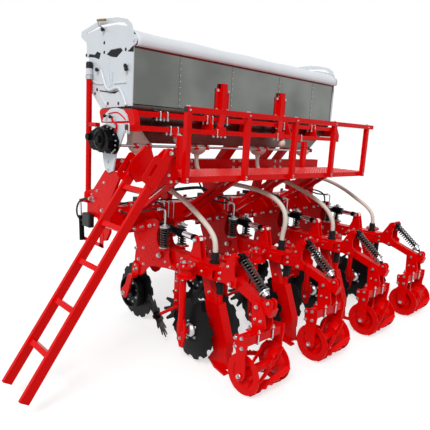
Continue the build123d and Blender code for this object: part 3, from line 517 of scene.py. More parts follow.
COVER_SECTION = [(1672, 2254), (1672, 2320), (1610, 2374), (1468, 2408), (1215, 2406), (1038, 2372),
                 (966, 2336), (934, 2296), (933, 2256), (950, 2240), (972, 2246)]
COVER_X = (-1362.0, 1282.0)
COVER_BOWS, COVER_STEPS, COVER_DIP = 5, 72, 9.0
TOP_FROM, TOP_OVER = 2330, 60  # the cloth counts as top from this height on, over this much rise
RIPPLE, RIPPLE_ALONG, RIPPLE_ROUND = 0.8, 61, 90
section_line = route("cover_section", [Vector((0, y, z)) for y, z in COVER_SECTION])
section, girth = line_of(section_line)
bpy.data.objects.remove(section_line)
grid = []
for i in range(COVER_STEPS + 1):
    share = i / COVER_STEPS
    x = COVER_X[0] + (COVER_X[1] - COVER_X[0]) * share
    dip = COVER_DIP * math.sin(math.pi * share * (COVER_BOWS - 1)) ** 2
    for p in section:
        on_top = max(0.0, min(1.0, (p.z - TOP_FROM) / TOP_OVER))
        ripple = RIPPLE * math.sin(share * RIPPLE_ALONG + p.y / RIPPLE_ROUND) * (1 - on_top)
        grid.append(at(x, p.y + ripple, p.z - dip * on_top))
width = len(section)
faces = [(i * width + j, (i + 1) * width + j, (i + 1) * width + j + 1, i * width + j + 1)
         for i in range(COVER_STEPS) for j in range(width - 1)]
cover = mesh_object("cover_cloth", grid, faces, cloth, smooth=True)
thick = cover.modifiers.new("cloth", "SOLIDIFY")
thick.thickness = 0.002
settle(cover, "frame", "tarpaulin", "hopper_cover")
print("cover", round((COVER_X[1] - COVER_X[0]) / 1000, 3), "by", round(girth / 1000, 3), "m")

# %% [markdown]
# The overload springs are round wire wound to a coil. A spiral curve is swept with a round wire,
# set on each seat and turned along the strut, so one tree serves both sizes of spring.

# %% Coil springs
coil_tree, given = new_tree("wound_spring", {"Turns": 9.0, "Radius": 0.03, "Length": 0.15, "Wire": 0.004})
helix = put(coil_tree, "GeometryNodeCurveSpiral", {"Resolution": 18, "Rotations": given["Turns"],
            "Start Radius": given["Radius"], "End Radius": given["Radius"], "Height": given["Length"]})
wire = put(coil_tree, "GeometryNodeCurvePrimitiveCircle", {"Resolution": 8, "Radius": given["Wire"]})
coil = put(coil_tree, "GeometryNodeCurveToMesh",
           {"Curve": helix.outputs[0], "Profile Curve": wire.outputs[0], "Fill Caps": True})
seats = put(coil_tree, "GeometryNodeInstanceOnPoints",
            {"Points": given["Geometry"], "Instance": coil.outputs[0], "Rotation": along_axis(coil_tree)})
soft = put(coil_tree, "GeometryNodeSetShadeSmooth", {"Geometry": seats.outputs[0]})
close_tree(coil_tree, soft.outputs[0], given["Material"])


def turned(name, profile, seats, material, slot=None, body="frame", sides=20):
    """Bodies of revolution: a (radius, height) profile in mm set up at each seat, as one piece."""
    verts, faces = [], []
    for place, axis, size in seats:
        tilt = Vector(axis).to_track_quat("Z", "Y")
        first = len(verts)
        for radius, height in profile:
            for k in range(sides):
                a = 2 * math.pi * k / sides
                flat = Vector((radius * math.cos(a), radius * math.sin(a), height)) * size / 1000
                verts.append(place + tilt @ flat)
        rings = len(profile)
        for r in range(rings - 1):
            for k in range(sides):
                n = (k + 1) % sides
                faces.append((first + r * sides + k, first + r * sides + n,
                              first + (r + 1) * sides + n, first + (r + 1) * sides + k))
        faces.append(tuple(first + k for k in range(sides)))
        faces.append(tuple(first + (rings - 1) * sides + k for k in range(sides)))
    made = mesh_object(name, verts, faces, material, smooth=True)
    made.data.set_sharp_from_angle(angle=math.radians(35))
    return settle(made, body, slot or SLOT_OF[material.name])


STRUT_X, STRUT_Y, STRUT_LOW, STRUT_HIGH = 87.0, 722.0, 760.0, 910.0
struts = [seat(x + s * STRUT_X, STRUT_Y, STRUT_LOW) for x, s in PAIRS]
coils = grow("strut_coils", marks("strut_seats", struts), coil_tree, Turns=8.0, Radius=0.0315, Length=0.150,
             Wire=0.0045, Material=spring_black)
settle(coils, "frame", "black_paint", "spring_struts")
GUIDE = [(17, -4), (17, 40), (15, 44), (15, 108), (19, 110), (19, 154)]
turned("strut_guides", GUIDE, struts, black_enamel)
turned("strut_washers", [(14, -10), (42, -10), (42, -2), (14, -2)], struts, zinc, slot="black_paint")
heads = [seat(x + s * STRUT_X, STRUT_Y, STRUT_HIGH) for x, s in PAIRS]
HEAD = [(12, 0), (42, 0), (42, 8), (20, 9), (20, 20), (12, 21), (10, 27)]
turned("strut_heads", HEAD, heads, zinc)

SPRING_TOP, SPRING_FOOT = Vector((0, -18, 843)), Vector((0, -306, 611))
slant = (SPRING_FOOT - SPRING_TOP).normalized()


def along_spring(reach):
    """A seat on every row at that reach down the slanted roller spring, facing along it."""
    place = SPRING_TOP + slant * reach
    return [(at(x, place.y, place.z), tuple(slant), 1.0) for x in ROWS]


long_seats = along_spring(30)
coils = grow("roller_arm_coils", marks("roller_spring_seats", long_seats), coil_tree, Turns=11.5,
             Radius=0.0305, Length=0.255, Wire=0.0055, Material=spring_black)
settle(coils, "frame", "black_paint", "roller_springs")
STEM = [(9, -24), (9, -8), (38, -8), (38, 0), (16, 1), (16, 60), (11, 62), (11, 255), (38, 256), (38, 265),
        (14, 267), (14, 300), (9, 302), (9, 330)]
turned("roller_spring_stems", STEM, long_seats, black_enamel)
eyes = [seat(x, SPRING_TOP.y, SPRING_TOP.z, "right") for x in ROWS]
turned("roller_spring_eyes", [(12, -24), (24, -24), (24, 24), (12, 24)], eyes, black_enamel)
print("springs", len(struts), "struts and", len(long_seats), "roller springs")

# %% [markdown]
# Bolts hold the machine together: zinc plated hexagon nuts on washers, with the thread's end standing out.
# They could be copied one by one, but a Geometry Nodes tree needs only a cloud of marks.
# It sets a washer, a nut and a thread's end on every mark, turned along the mark's axis,
# spun by a seeded random angle and scaled to the width across its flats.
# Each is a few dozen faces, because there are several hundred.

# %% Bolt tree
bolt_tree, given = new_tree("hexagon_bolt", {"Washer": 0.66, "Nut": 0.57, "Thread": 0.30, "Seed": 7})
stack = put(bolt_tree, "GeometryNodeJoinGeometry")
for label, corners, low, high in (("Washer", 12, 0.0, 0.12), ("Nut", 6, 0.12, 0.60),
                                  ("Thread", 8, 0.60, 0.82)):
    slice_of = put(bolt_tree, "GeometryNodeMeshCylinder",
                   {"Vertices": corners, "Radius": given[label], "Depth": high - low})
    raised = put(bolt_tree, "GeometryNodeTransform",
                 {"Geometry": slice_of.outputs["Mesh"], "Translation": (0, 0, (low + high) / 2)})
    bolt_tree.links.new(raised.outputs[0], stack.inputs[0])
chance = put(bolt_tree, "FunctionNodeRandomValue", {"Min": 0.0, "Max": 1.05, "Seed": given["Seed"]},
             data_type="FLOAT")
spin = put(bolt_tree, "FunctionNodeAxisAngleToRotation",
           {"Axis": (0, 0, 1), "Angle": chance.outputs["Value"]})
turn = put(bolt_tree, "FunctionNodeRotateRotation",
           {"Rotation": along_axis(bolt_tree), "Rotate By": spin.outputs[0]}, rotation_space="LOCAL")
size = put(bolt_tree, "GeometryNodeInputNamedAttribute", {"Name": "size"}, data_type="FLOAT")
seated = put(bolt_tree, "GeometryNodeInstanceOnPoints",
             {"Points": given["Geometry"], "Instance": stack.outputs[0], "Rotation": turn.outputs[0],
              "Scale": size.outputs[0]})
close_tree(bolt_tree, seated.outputs[0], given["Material"])


def spot(x, y, z, facing, across):
    """A bolt's seat, sized by the width across its flats in millimetres."""
    return seat(x, y, z, facing, across / 1000)


def bolts(name, body, spots):
    """Bolts of one body as one piece."""
    settle(grow(name, marks(name + "_marks", spots), bolt_tree, Material=zinc), body, "chrome")


# %% [markdown]
# A row unit has the same bolts on every row, so its table is written once, for one side, and looped over.
# The left cheek also carries the coulter's arm, so that side has its own few places.

# %% Bolts of the row units
# columns: distance from the row's middle, y, z, width across flats; all face outward, on both sides
SIDE_BOLTS = [
    (83, 1112, 659, 25), (83, 999, 687, 18), (83, 1065, 575, 22), (83, 992, 552, 18), (94, 1121, 824, 26),
    (94, 1035, 855, 16), (94, 1007, 865, 16), (95, 905, 890, 24), (97, 768, 679, 30), (83, 860, 905, 14),
    (83, 700, 640, 14), (83, 640, 612, 14), (62, 115, 705, 16), (62, 113, 665, 16), (62, 40, 770, 15),
    (102, 262, 685, 16), (50, 440, 700, 14), (50, 500, 668, 14), (50, 545, 700, 14), (76, 3, 658, 20),
    (40, 416, 870, 24), (34, -306, 611, 16), (52, -228, 568, 20), (194, -246, 143, 24), (30, 618, 575, 16),
    (30, 618, 500, 16), (30, 618, 420, 16), (30, 618, 340, 16), (42, -215, 480, 15), (42, -262, 480, 15),
    (24, 250, 520, 16), (216, 324, 188, 18), (71, 700, 700, 14),
]
RIGHT_BOLTS = [(83, 1118, 522, 16), (83, 1122, 490, 14), (83, 1051, 476, 14), (83, 1067, 455, 14),
               (44, 1205, 245, 30)]
LEFT_BOLTS = [(97, 1070, 495, 18), (97, 1105, 478, 18), (97, 1092, 520, 16), (140, 1205, 245, 30)]
CLAMP_ROD_X, CLAMP_ROD_Z = 110.0, (1016.0, 814.0)
FLANGE_X, FLANGE_Y, FLANGE_R = 190.0, 325.0, 57.0
row_spots = []
for x in ROWS:
    for side, facing, own in ((-1, "left", LEFT_BOLTS), (1, "right", RIGHT_BOLTS)):
        for beside, y, z, across in SIDE_BOLTS + own:
            row_spots.append(spot(x + side * beside, y, z, facing, across))
        for k in range(6):
            a = math.radians(30 + 60 * k)
            y, dx = FLANGE_Y + FLANGE_R * math.sin(a), FLANGE_X + FLANGE_R * math.cos(a)
            row_spots.append(spot(x + side * dx, y, 730, "up", 14))
            row_spots.append(spot(x + side * dx, y, 640, "down", 14))
        row_spots.append(spot(x + side * 210, FLANGE_Y, 745, "up", 24))
        for z in CLAMP_ROD_Z:
            row_spots.append(spot(x + side * CLAMP_ROD_X, 1172, z, "back", 22))
            row_spots.append(spot(x + side * CLAMP_ROD_X, 1384, z, "front", 22))
        for z in (860, 960):
            row_spots.append(spot(x + side * 100, 1172, z, "back", 18))
bolts("row_unit_bolts", "frame", row_spots)
# painted shade: small dark discs at the holes of the side plates stand in for the shade seen through them
HOLE_ARC, HOLE_DROPS = ((955, 720), (925, 715), (895, 700), (870, 675)), (0, 57)
holes = [seat(x + s * 83, y, z - drop, SIDE_FACE[s])
         for x, s in PAIRS for drop in HOLE_DROPS for y, z in HOLE_ARC]
turned("row_plate_holes", [(6, -0.5), (6, 0.3), (3, 0.5)], holes, disc_black, sides=10)
print("row unit bolts", len(row_spots))

# %% [markdown]
# The wheels turn, so their bolts are pieces of their own that ride on each wheel's body.
# A side disc also has a bright pressed cap over its bearing, made as a body of revolution.

# %% Bolts of the wheels
CLEANER_LEAN = Vector((0.70, 0.55, -0.45)).normalized()


def ring_of(name, body, hub, axis, across, rings):
    """Rings of bolts round a hub, each (count, radius, offset along the axis, sign of the way they face)."""
    tilt = Vector(axis).to_track_quat("Z", "Y")
    spots = []
    for count, radius, offset, sign in rings:
        for k in range(count):
            a = 2 * math.pi * (k + 0.5) / count
            flat = Vector((radius * math.cos(a), radius * math.sin(a), offset)) / 1000
            spots.append((at(*hub) + tilt @ flat, tuple(Vector(axis) * sign), across / 1000))
    bolts(name, body, spots)


COULTER_HUB, DISC_HUB, CLEANER_HUB = (1205, 245), (290, 247), (700, 215)
DISC_CAP = [(53, 4.6), (53, 6), (41, 23), (27, 30.6), (16, 31), (15, 30.4)]
for k, x in enumerate(ROWS, 1):
    ring_of(f"coulter_bolts_{k}", f"coulter_{k}", (x, *COULTER_HUB), (1, 0, 0), 15,
            ((8, 90, -60, -1), (6, 78, 3, 1)))
    for side, label in SIDE_FACE.items():
        disc, cleaner = f"disc_{label}_{k}", f"cleaner_{label}_{k}"
        hub, axis = (x + side * 150, *DISC_HUB), (side, 0, 0)
        ring_of(f"disc_{label}_bolts_{k}", disc, hub, axis, 16, ((5, 67, 5, 1), (5, 64, -1, -1)))
        turned(f"disc_{label}_cap_{k}", DISC_CAP, [(at(*hub), axis, 1.0)], zinc, body=disc)
        lean = (side * CLEANER_LEAN.x, CLEANER_LEAN.y, CLEANER_LEAN.z)
        ring_of(f"cleaner_{label}_bolts_{k}", cleaner, (x + side * 140, *CLEANER_HUB), lean, 15,
                ((5, 47, 13, 1),))
print("wheel bolts on", 5 * len(ROWS), "wheels")

# %% [markdown]
# Plates and bars that clamp things to the toolbar are simple cut steel, so one function joins any number
# of boxes in one mesh, and a small bevel breaks their edges.
# Bent round bars follow a NURBS line with a round section.

# %% Bars, plates and bent rods
U_BOLT_BEND = 14
BOX_FACES = [(0, 2, 3, 1), (4, 5, 7, 6), (0, 1, 5, 4), (2, 6, 7, 3), (0, 4, 6, 2), (1, 3, 7, 5)]


def plates(name, boxes, material, edge=2.0):
    """Boxes between two corners in millimetres, as one piece with bevelled edges."""
    verts, faces = [], []
    for x0, x1, y0, y1, z0, z1 in boxes:
        first = len(verts)
        verts += [at(x, y, z) for x in (x0, x1) for y in (y0, y1) for z in (z0, z1)]
        faces += [tuple(first + k for k in face) for face in BOX_FACES]
    made = mesh_object(name, verts, faces, material)
    bevel = made.modifiers.new("edge", "BEVEL")
    bevel.width = edge / 1000
    bevel.segments = 2
    bevel.limit_method = "ANGLE"
    return settle(made, "frame", SLOT_OF[material.name])


def rods(name, lines, radius, material):
    """Bent round bars: each line is a list of places in millimetres; all become one mesh."""
    bars = bpy.data.curves.new(name, "CURVE")
    bars.dimensions = "3D"
    bars.resolution_u = 8
    bars.bevel_depth = radius / 1000
    bars.bevel_resolution = 2
    bars.use_fill_caps = True
    for line in lines:
        add_line(bars, [at(*place) for place in line])
    holder = link(name, bars)
    mesh = baked(holder)
    bpy.data.objects.remove(holder)
    mesh.materials.clear()
    mesh.materials.append(material)
    mesh.name = name
    return settle(link(name, mesh), "frame", SLOT_OF[material.name])


def round_bar(x, y, z, high, deep, drop):
    """A U-bolt over a bar: over y..y+deep at height z+high, with legs down by drop."""
    top, r = z + high, U_BOLT_BEND
    return [(x, y, top - drop), (x, y, top - r), (x, y, top), (x, y + r, top),
            (x, y + deep - r, top), (x, y + deep, top), (x, y + deep, top - r), (x, y + deep, top - drop)]


# %% [markdown]
# The row units hang on the toolbar by four long threaded rods with a strap in front.
# More U-bolts hold the hose rail to the toolbar and the cradle's beams to their brackets.
# Black plates at the open tube ends of the disc carriers are painted shade for the inside of the tubes.

# %% Clamp rods, straps and U-bolts
straps = [(x + s * CLAMP_ROD_X - 19, x + s * CLAMP_ROD_X + 19, 1371, 1384, 790, 1040) for x, s in PAIRS]
plates("clamp_straps", straps, red_enamel)
long_rods = [[(x + s * CLAMP_ROD_X, y, z) for y in (1160, 1280, 1402)] for x, s in PAIRS for z in CLAMP_ROD_Z]
rods("clamp_rods", long_rods, 9, zinc)
# painted shade: dark plates over the carriers' open tube ends
mouths = [(x + s * 82 - 14, x + s * 82 + 14, 168, 174, 656, 714) for x, s in PAIRS]
plates("carrier_tube_plugs", mouths, black_plastic)
U_BOLT_X = [x + dx for x in ROWS[:3] for dx in (243, 294, 351)]
rods("toolbar_u_bolts", [round_bar(x, 1182, 825, 188, 196, 196) for x in U_BOLT_X], 7, zinc)
UPPER_BEAM_X = (-1135, -1065, -640, -580, -470, -405, 340, 405, 880, 940)
LOWER_BEAM_X = (-1459, -1074, -1004, -570, -480, 245, 335, 540, 630)
hoops = [round_bar(x, 934, 1740, 48, 52, 62) for x in UPPER_BEAM_X]
hoops += [round_bar(x, 874, 1631, 46, 52, 60) for x in LOWER_BEAM_X]
rods("cradle_u_bolts", hoops, 6, zinc)
STRAP_X, POST_X = (-437, 372), [-1415 + 565 * k for k in range(5)]
BEAM_BOLT_X = (-1325, -1235, -685, -595, -45, 45, 595, 685)
LUG_BOLTS = ((-1489, 1360), (-1471, 1317), (-1421, 1317), (-1560, 1400))
# columns: y, z, width across flats; on the outer face of both hopper legs
LEG_BOLTS = ((1291, 1197, 20), (1407, 1114, 18), (1498, 1033, 34), (1494, 1072, 16), (1462, 1021, 16),
             (1250, 960, 26), (1320, 960, 26), (1250, 850, 26), (1320, 850, 26))
cradle_spots = [spot(x, y, 1732, "down", 20) for x in UPPER_BEAM_X for y in (934, 986)]
cradle_spots += [spot(x, y, 1623, "down", 20) for x in LOWER_BEAM_X for y in (874, 926)]
cradle_spots += [spot(x, y, 822, "down", 22) for x in U_BOLT_X for y in (1182, 1378)]
cradle_spots += [spot(x + dx, 978, z, "back", 20) for x in STRAP_X for dx in (-66, 66) for z in (1850, 2015)]
cradle_spots += [spot(x + 19, 262, z, "back", 11) for x in POST_X for z in (1322, 1340, 1785)]
cradle_spots += [spot(x + dx, 281, 1807, "up", 11) for dx in (10, 28) for x in POST_X]
cradle_spots += [spot(x, y, z, facing, 15)
                 for y, facing in ((340, "back"), (570, "front")) for x, z in LUG_BOLTS]
cradle_spots += [spot(-1505, 304, 1505, "back", 20), spot(-1505, 606, 1505, "front", 20)]
cradle_spots += [spot(x, 1180, z, "back", 20) for x in BEAM_BOLT_X for z in (1318, 1382)]
cradle_spots += [spot(s * 1412, y, z, SIDE_FACE[s], across) for s in SIDES for y, z, across in LEG_BOLTS]
bolts("cradle_bolts", "frame", cradle_spots)
print("cradle bolts", len(cradle_spots))

# %% [markdown]
# Hydraulics feed the struts and the trip cylinders. A bent steel pipe leaves the left strut of every row,
# and rubber hoses run from there to the toolbar or up to the cross beam. The trip cylinder has its own hose
# to a valve block on the toolbar, and a thick conduit and a thin cable lie on top of the toolbar.
# A hose is a fixed length of something flexible, so each is one NURBS line with a round section.

# %% Hydraulic hoses
def flexible(name, places, diameter):
    """A rubber hose along given places in millimetres, from the end where the solids hold it."""
    curve = route(name, [at(*p) for p in places])
    points, length = line_of(curve)
    curve.data.bevel_depth = diameter / 2000
    curve.data.bevel_resolution = 3
    curve.data.use_fill_caps = True
    curve.data.materials.append(rubber)
    settle(curve, "frame", "black_paint")
    print(name, "length", round(length, 3))


# columns: distance from the row's middle, y, z
BAR_HOSE = [(-138, 728, 1056), (-168, 734, 1058), (-198, 766, 1050), (-213, 835, 1025), (-217, 930, 992),
            (-214, 1040, 972), (-208, 1125, 970), (-205, 1194, 975)]
BEAM_HOSE = [(-138, 728, 1056), (-168, 734, 1058), (-196, 766, 1056), (-211, 830, 1058), (-217, 920, 1082),
             (-219, 1005, 1140), (-218, 1070, 1215), (-216, 1120, 1280), (-215, 1186, 1332)]
TRIP_HOSE = [(0, 838, 925), (0, 838, 975), (8, 862, 1032), (24, 945, 1060), (40, 1060, 1062),
             (48, 1160, 1056), (50, 1240, 1044), (50, 1300, 1032)]
VALVE_SIDE = (1, 1, -1, 1)
STRUT_PIPE = [(-87, 722, 932), (-87, 722, 985), (-87, 722, 1034), (-102, 724, 1056), (-144, 728, 1056)]
for k, x in enumerate(ROWS):
    line = [(x + dx, y, z) for dx, y, z in reversed(BEAM_HOSE if k else BAR_HOSE)]
    pipe = rods(f"strut_pipe_{k + 1}", [[(x + dx, y, z) for dx, y, z in STRUT_PIPE]], 7, zinc)
    flexible(f"strut_hose_{k + 1}", line, 15)
    flexible(f"trip_hose_{k + 1}", [(x + VALVE_SIDE[k] * dx, y, z) for dx, y, z in TRIP_HOSE], 17)
fitting = [(8, -6), (13, -6), (13, 10), (10, 12), (10, 24), (7, 25)]
ports = [seat(x, 838, 915) for x in ROWS] + [seat(x - 136, 728, 1056, "left") for x in ROWS]
ports += [seat(ROWS[0] - 205, 1190, 975, "back")]
ports += [(at(x - 215, 1180, 1328), (0, -1, -0.7), 1.0) for x in ROWS[1:]]
turned("hose_fittings", fitting, ports, zinc, sides=12)
blocks = [(x + s * 50 - 27, x + s * 50 + 27, 1290, 1352, 1005, 1056) for x, s in zip(ROWS, VALVE_SIDE)]
plates("valve_blocks", blocks, black_plastic, edge=4.0)
CONDUIT = [(-975, 1200, 1012), (-950, 1200, 1048), (-888, 1200, 1098), (-760, 1200, 1122), (-630, 1200, 1128),
           (-510, 1200, 1132), (-428, 1202, 1126), (-356, 1206, 1100), (-288, 1210, 1056), (-215, 1210, 1012)]
flexible("toolbar_conduit", CONDUIT, 30)
saddles = [(x - 24, x + 24, 1190, 1228, 1003, 1026) for x in (-976, -212)]
plates("conduit_saddles", saddles, black_plastic, edge=4.0)
BAR_CABLE = [(-1345, 1228, 1014), (-1240, 1226, 1034), (-1125, 1222, 1030), (-1010, 1226, 1034),
             (-880, 1234, 1030), (-770, 1236, 1030), (-630, 1226, 1016), (-490, 1228, 1034),
             (-375, 1236, 1030), (-260, 1234, 1034), (-130, 1228, 1030), (-20, 1232, 1030), (120, 1224, 1016),
             (262, 1228, 1034), (330, 1230, 1036)]
flexible("toolbar_cable", BAR_CABLE, 13)
ends = [(-1362, -1338, 1212, 1246, 1004, 1026), (318, 352, 1214, 1248, 1004, 1048)]
plates("cable_glands", ends, black_plastic, edge=4.0)

# %% [markdown]
# The trip cylinder's rod ends in a black eye, and the roller spring sits on a zinc collar with two lock nuts.
# Both are turned parts, so they are profiles spun round an axis.

# %% Cylinder eyes and spring collars
toward_pin = Vector((0, 905 - 416, 890 - 870)).normalized()
rod_eyes = [(at(x, 416 + 26 * toward_pin.y, 870 + 26 * toward_pin.z), tuple(toward_pin), 1.0) for x in ROWS]
ROD_EYE = [(16, 0), (24, 3), (26, 10), (26, 40), (24, 46), (16, 46)]
turned("trip_rod_eyes", ROD_EYE, rod_eyes, black_enamel)
COLLAR = [(12, -2), (39, -2), (39, 8), (27, 10), (25, 24), (20, 25), (20, 34), (12, 36)]
turned("spring_collars", COLLAR, along_spring(286), zinc)
YOKE_CLIP_X = 71
yoke_clips = [(x + s * YOKE_CLIP_X - 27, x + s * YOKE_CLIP_X + 27, -290, -190, 405, 415) for x, s in PAIRS]
plates("yoke_clip_plates", yoke_clips, red_enamel)
YOKE_HOOP = ((-282, 436), (-282, 354), (-282, 338), (-266, 338), (-214, 338), (-198, 338), (-198, 354),
             (-198, 436))
rods("yoke_u_bolts", [[(x + s * YOKE_CLIP_X, y, z) for y, z in YOKE_HOOP] for x, s in PAIRS], 6, zinc)
YOKE_BOLTS = ((-190, 382), (-244, 395), (-192, 322), (-250, 330))
yoke_spots = [spot(x + s * YOKE_CLIP_X, y, 415, "up", 18) for x, s in PAIRS for y in (-282, -198)]
yoke_spots += [spot(x + s * 186, y, z, SIDE_FACE[s], 19) for x, s in PAIRS for y, z in YOKE_BOLTS]
bolts("yoke_bolts", "frame", yoke_spots)

# %% [markdown]
# The hopper's end plate is pressed sheet: shallow pockets, raised ribs, plugs and knobs.
# Its pockets are in the solid, and a thin dark sheet on the floor of each is painted shade.
# Both ends are alike apart from the crank, which has an ochre grip.

# %% Hopper end plates
END_FACES = ((-1374.0, -1), (1294.0, 1))
LINERS = [
    [(1358, 2211), (1294, 2241), (1152, 2243), (1122, 2222), (1208, 2179), (1295, 2192)],
    [(1662, 2214), (1642, 2235), (1550, 2223), (1513, 2245), (1455, 2227), (1477, 2183), (1560, 2204)],
    [(1050, 2210), (984, 2242), (976, 2242), (976, 2203), (983, 2203)],
    [(1466, 1938), (1276, 1920), (1160, 1928), (1228, 1906), (1276, 1912), (1466, 1930)],
]
PLUGS = [(1397, 2304), (1395, 2231), (1693, 2231), (1078, 2227), (1623, 2064), (1538, 1913), (1327, 1831),
         (1167, 1831), (1504, 1944)]
KNOBS = [(1484, 2100), (1051, 2104), (1041, 2081), (1400, 2403)]
RIBS = [
    [(1589, 2029), (1545, 1986), (1398, 1986)], [(1230, 1985), (1142, 1986), (1055, 1986)],
    [(1421, 2087), (1383, 2018), (1346, 1950)], [(1334, 2194), (1318, 2076), (1302, 1958)],
    [(1262, 2074), (1268, 2020), (1273, 1967)], [(1447, 1902), (1397, 1853), (1347, 1812)],
]
BENT_TUBE = [(1424, 2092), (1385, 2020), (1350, 1958), (1286, 1926), (1200, 1951), (1134, 1946), (1067, 1857),
             (1042, 1815)]
verts, faces, plug_spots, knob_spots, rib_lines, tube_lines = [], [], [], [], [], []
for face, side in END_FACES:
    for outline in LINERS:
        first, count = len(verts), len(outline)
        for depth in (4.8, 3.4):
            verts += [at(face - side * depth, y, z) for y, z in outline]
        ring = range(count)
        faces += [tuple(first + k for k in ring), tuple(first + count + k for k in ring)]
        faces += [(first + k, first + (k + 1) % count, first + count + (k + 1) % count, first + count + k)
                  for k in ring]
    plug_spots += [seat(face, y, z, SIDE_FACE[side]) for y, z in PLUGS]
    knob_spots += [seat(face, y, z, SIDE_FACE[side]) for y, z in KNOBS]
    rib_lines += [[(face + side * 2.0, y, z) for y, z in line] for line in RIBS]
    tube_lines.append([(face + side * 9.0, y, z) for y, z in BENT_TUBE])
# the dark sheets in the end plate's pockets are painted shade
settle(mesh_object("end_pocket_liners", verts, faces, disc_black), "frame", "black_paint")
PLUG, KNOB = [(13, -1), (13, 2), (9, 4), (4, 4.6)], [(7, -1), (7, 10), (15, 12), (17, 18), (15, 26), (8, 30)]
turned("end_hole_plugs", PLUG, plug_spots, black_plastic, sides=16)
turned("end_knobs", KNOB, knob_spots, black_plastic, sides=16)
rods("end_ribs", rib_lines, 7, white_enamel)
rods("end_tubes", tube_lines, 12, white_enamel)
CRANK_X = -1392
crank = [(-1364, 1461, 2434), (CRANK_X, 1461, 2436), (CRANK_X - 4, 1462, 2452), (CRANK_X - 4, 1462, 2474)]
rods("cover_crank", [crank], 6, zinc)
grip = [(CRANK_X - 6, 1466, 2477), (CRANK_X - 10, 1400, 2472), (CRANK_X - 10, 1336, 2464)]
rods("crank_grip", [grip], 10, grip_plastic)
print("end plates", len(plug_spots), "plugs", len(rib_lines), "ribs")

# %% [markdown]
# The metering drive at the left end is a black gear case with a ring of cover bolts, and a turned boss
# and four ribs on its domed face. Beside it are a red sensor, a setting sector with its slot
# and a bent lever with ball knobs. A shaft runs from it under the hopper, through two bearing blocks
# at every meter. Two beige caps hang under the lower beam.

# %% Metering drive
CASE = [(1440, 1517), (1400, 1610), (1252, 1664), (1130, 1640), (1056, 1545), (1070, 1470), (1110, 1441),
        (1330, 1441), (1400, 1462)]
CASE_MIDDLE, CASE_FACE, SECTOR_FACE, RIM_SHARE = (1250, 1550), -1448, -1422, 0.93
rim = []
for (y0, z0), (y1, z1) in zip(CASE, CASE[1:] + CASE[:1]):
    for share in (0.0, 0.5):
        y, z = y0 + (y1 - y0) * share, z0 + (z1 - z0) * share
        rim.append([middle + RIM_SHARE * (c - middle) for c, middle in zip((y, z), CASE_MIDDLE)])
drive_spots = [spot(CASE_FACE, y, z, "left", 13) for y, z in rim]
drive_spots += [spot(SECTOR_FACE - 2, 1212, 1312, "left", 16), spot(SECTOR_FACE - 2, 1222, 1372, "left", 16)]
bolts("drive_bolts", "frame", drive_spots)
DOME_FACE = CASE_FACE - 54
BOSS = [(78, -1), (78, 6), (70, 12), (54, 14), (50, 7), (30, 7), (27, 20), (11, 23)]
turned("drive_boss", BOSS, [seat(DOME_FACE, 1226, 1548, "left")], black_enamel, sides=32)
RIB_ENDS = (((1186, 1598), (1152, 1616)), ((1156, 1547), (1096, 1546)), ((1290, 1506), (1368, 1484)),
            ((1298, 1584), (1370, 1594)))
case_ribs = [[(DOME_FACE, *near), (DOME_FACE, (near[0] + far[0]) / 2, (near[1] + far[1]) / 2),
              (DOME_FACE, *far)]
             for near, far in RIB_ENDS]
rods("drive_ribs", case_ribs, 6, black_enamel)
plates("drive_sensor", [(-1486, -1446, 1316, 1420, 1642, 1675)], red_enamel, edge=4.0)
plates("sensor_plug", [(-1482, -1450, 1420, 1446, 1644, 1671)], black_plastic, edge=5.0)
plates("sensor_bracket", [(-1452, -1446, 1336, 1392, 1596, 1650)], zinc)
SLOT_ARC = ((1226, 1748), (1125, 1768), (1036, 1742), (980, 1706))
rods("sector_slot", [[(SECTOR_FACE - 1, y, z) for y, z in SLOT_ARC]], 5, red_enamel)
LEVER = ((1161, 1722), (1148, 1694), (1088, 1676), (1080, 1646), (1104, 1612))
rods("setting_lever", [[(-1438, y, z) for y, z in LEVER]], 8, red_enamel)
BALL = [(4, -22), (5, -6), (10, -4), (14, 3), (14, 9), (10, 16), (4, 18)]
tips = [seat(-1444, 1248, 1731, "left"), seat(-1444, 1161, 1725, "left")]
turned("lever_knobs", BALL, tips, black_plastic, sides=16)
METER_ROD = (1048, 1512)
rods("metering_shaft", [[(-1424, *METER_ROD), (-200, *METER_ROD), (1080, *METER_ROD)]], 11, zinc)
BEARINGS_X = [x + dx for x in METER_X for dx in (-62, 62)]
bearings = [(x - 16, x + 16, 1030, 1068, 1492, 1534) for x in BEARINGS_X]
plates("shaft_bearings", bearings, red_enamel, edge=3.0)
bolts("bearing_bolts", "frame", [spot(x, 1030, 1522, "back", 14) for x in BEARINGS_X])
BELL = [(14, 0), (16, 10), (36, 22), (42, 34), (42, 58), (34, 74), (18, 84), (10, 86)]
turned("drain_caps", BELL, [seat(x, 900, 1631, "down") for x in (-974, 334)], bucket_plastic)
print("drive bolts", len(drive_spots))

# %% [markdown]
# The front poles carry a capped sleeve at the top. At the foot of the left one are a hose loop,
# a black junction box and a small cylinder on its own bracket.

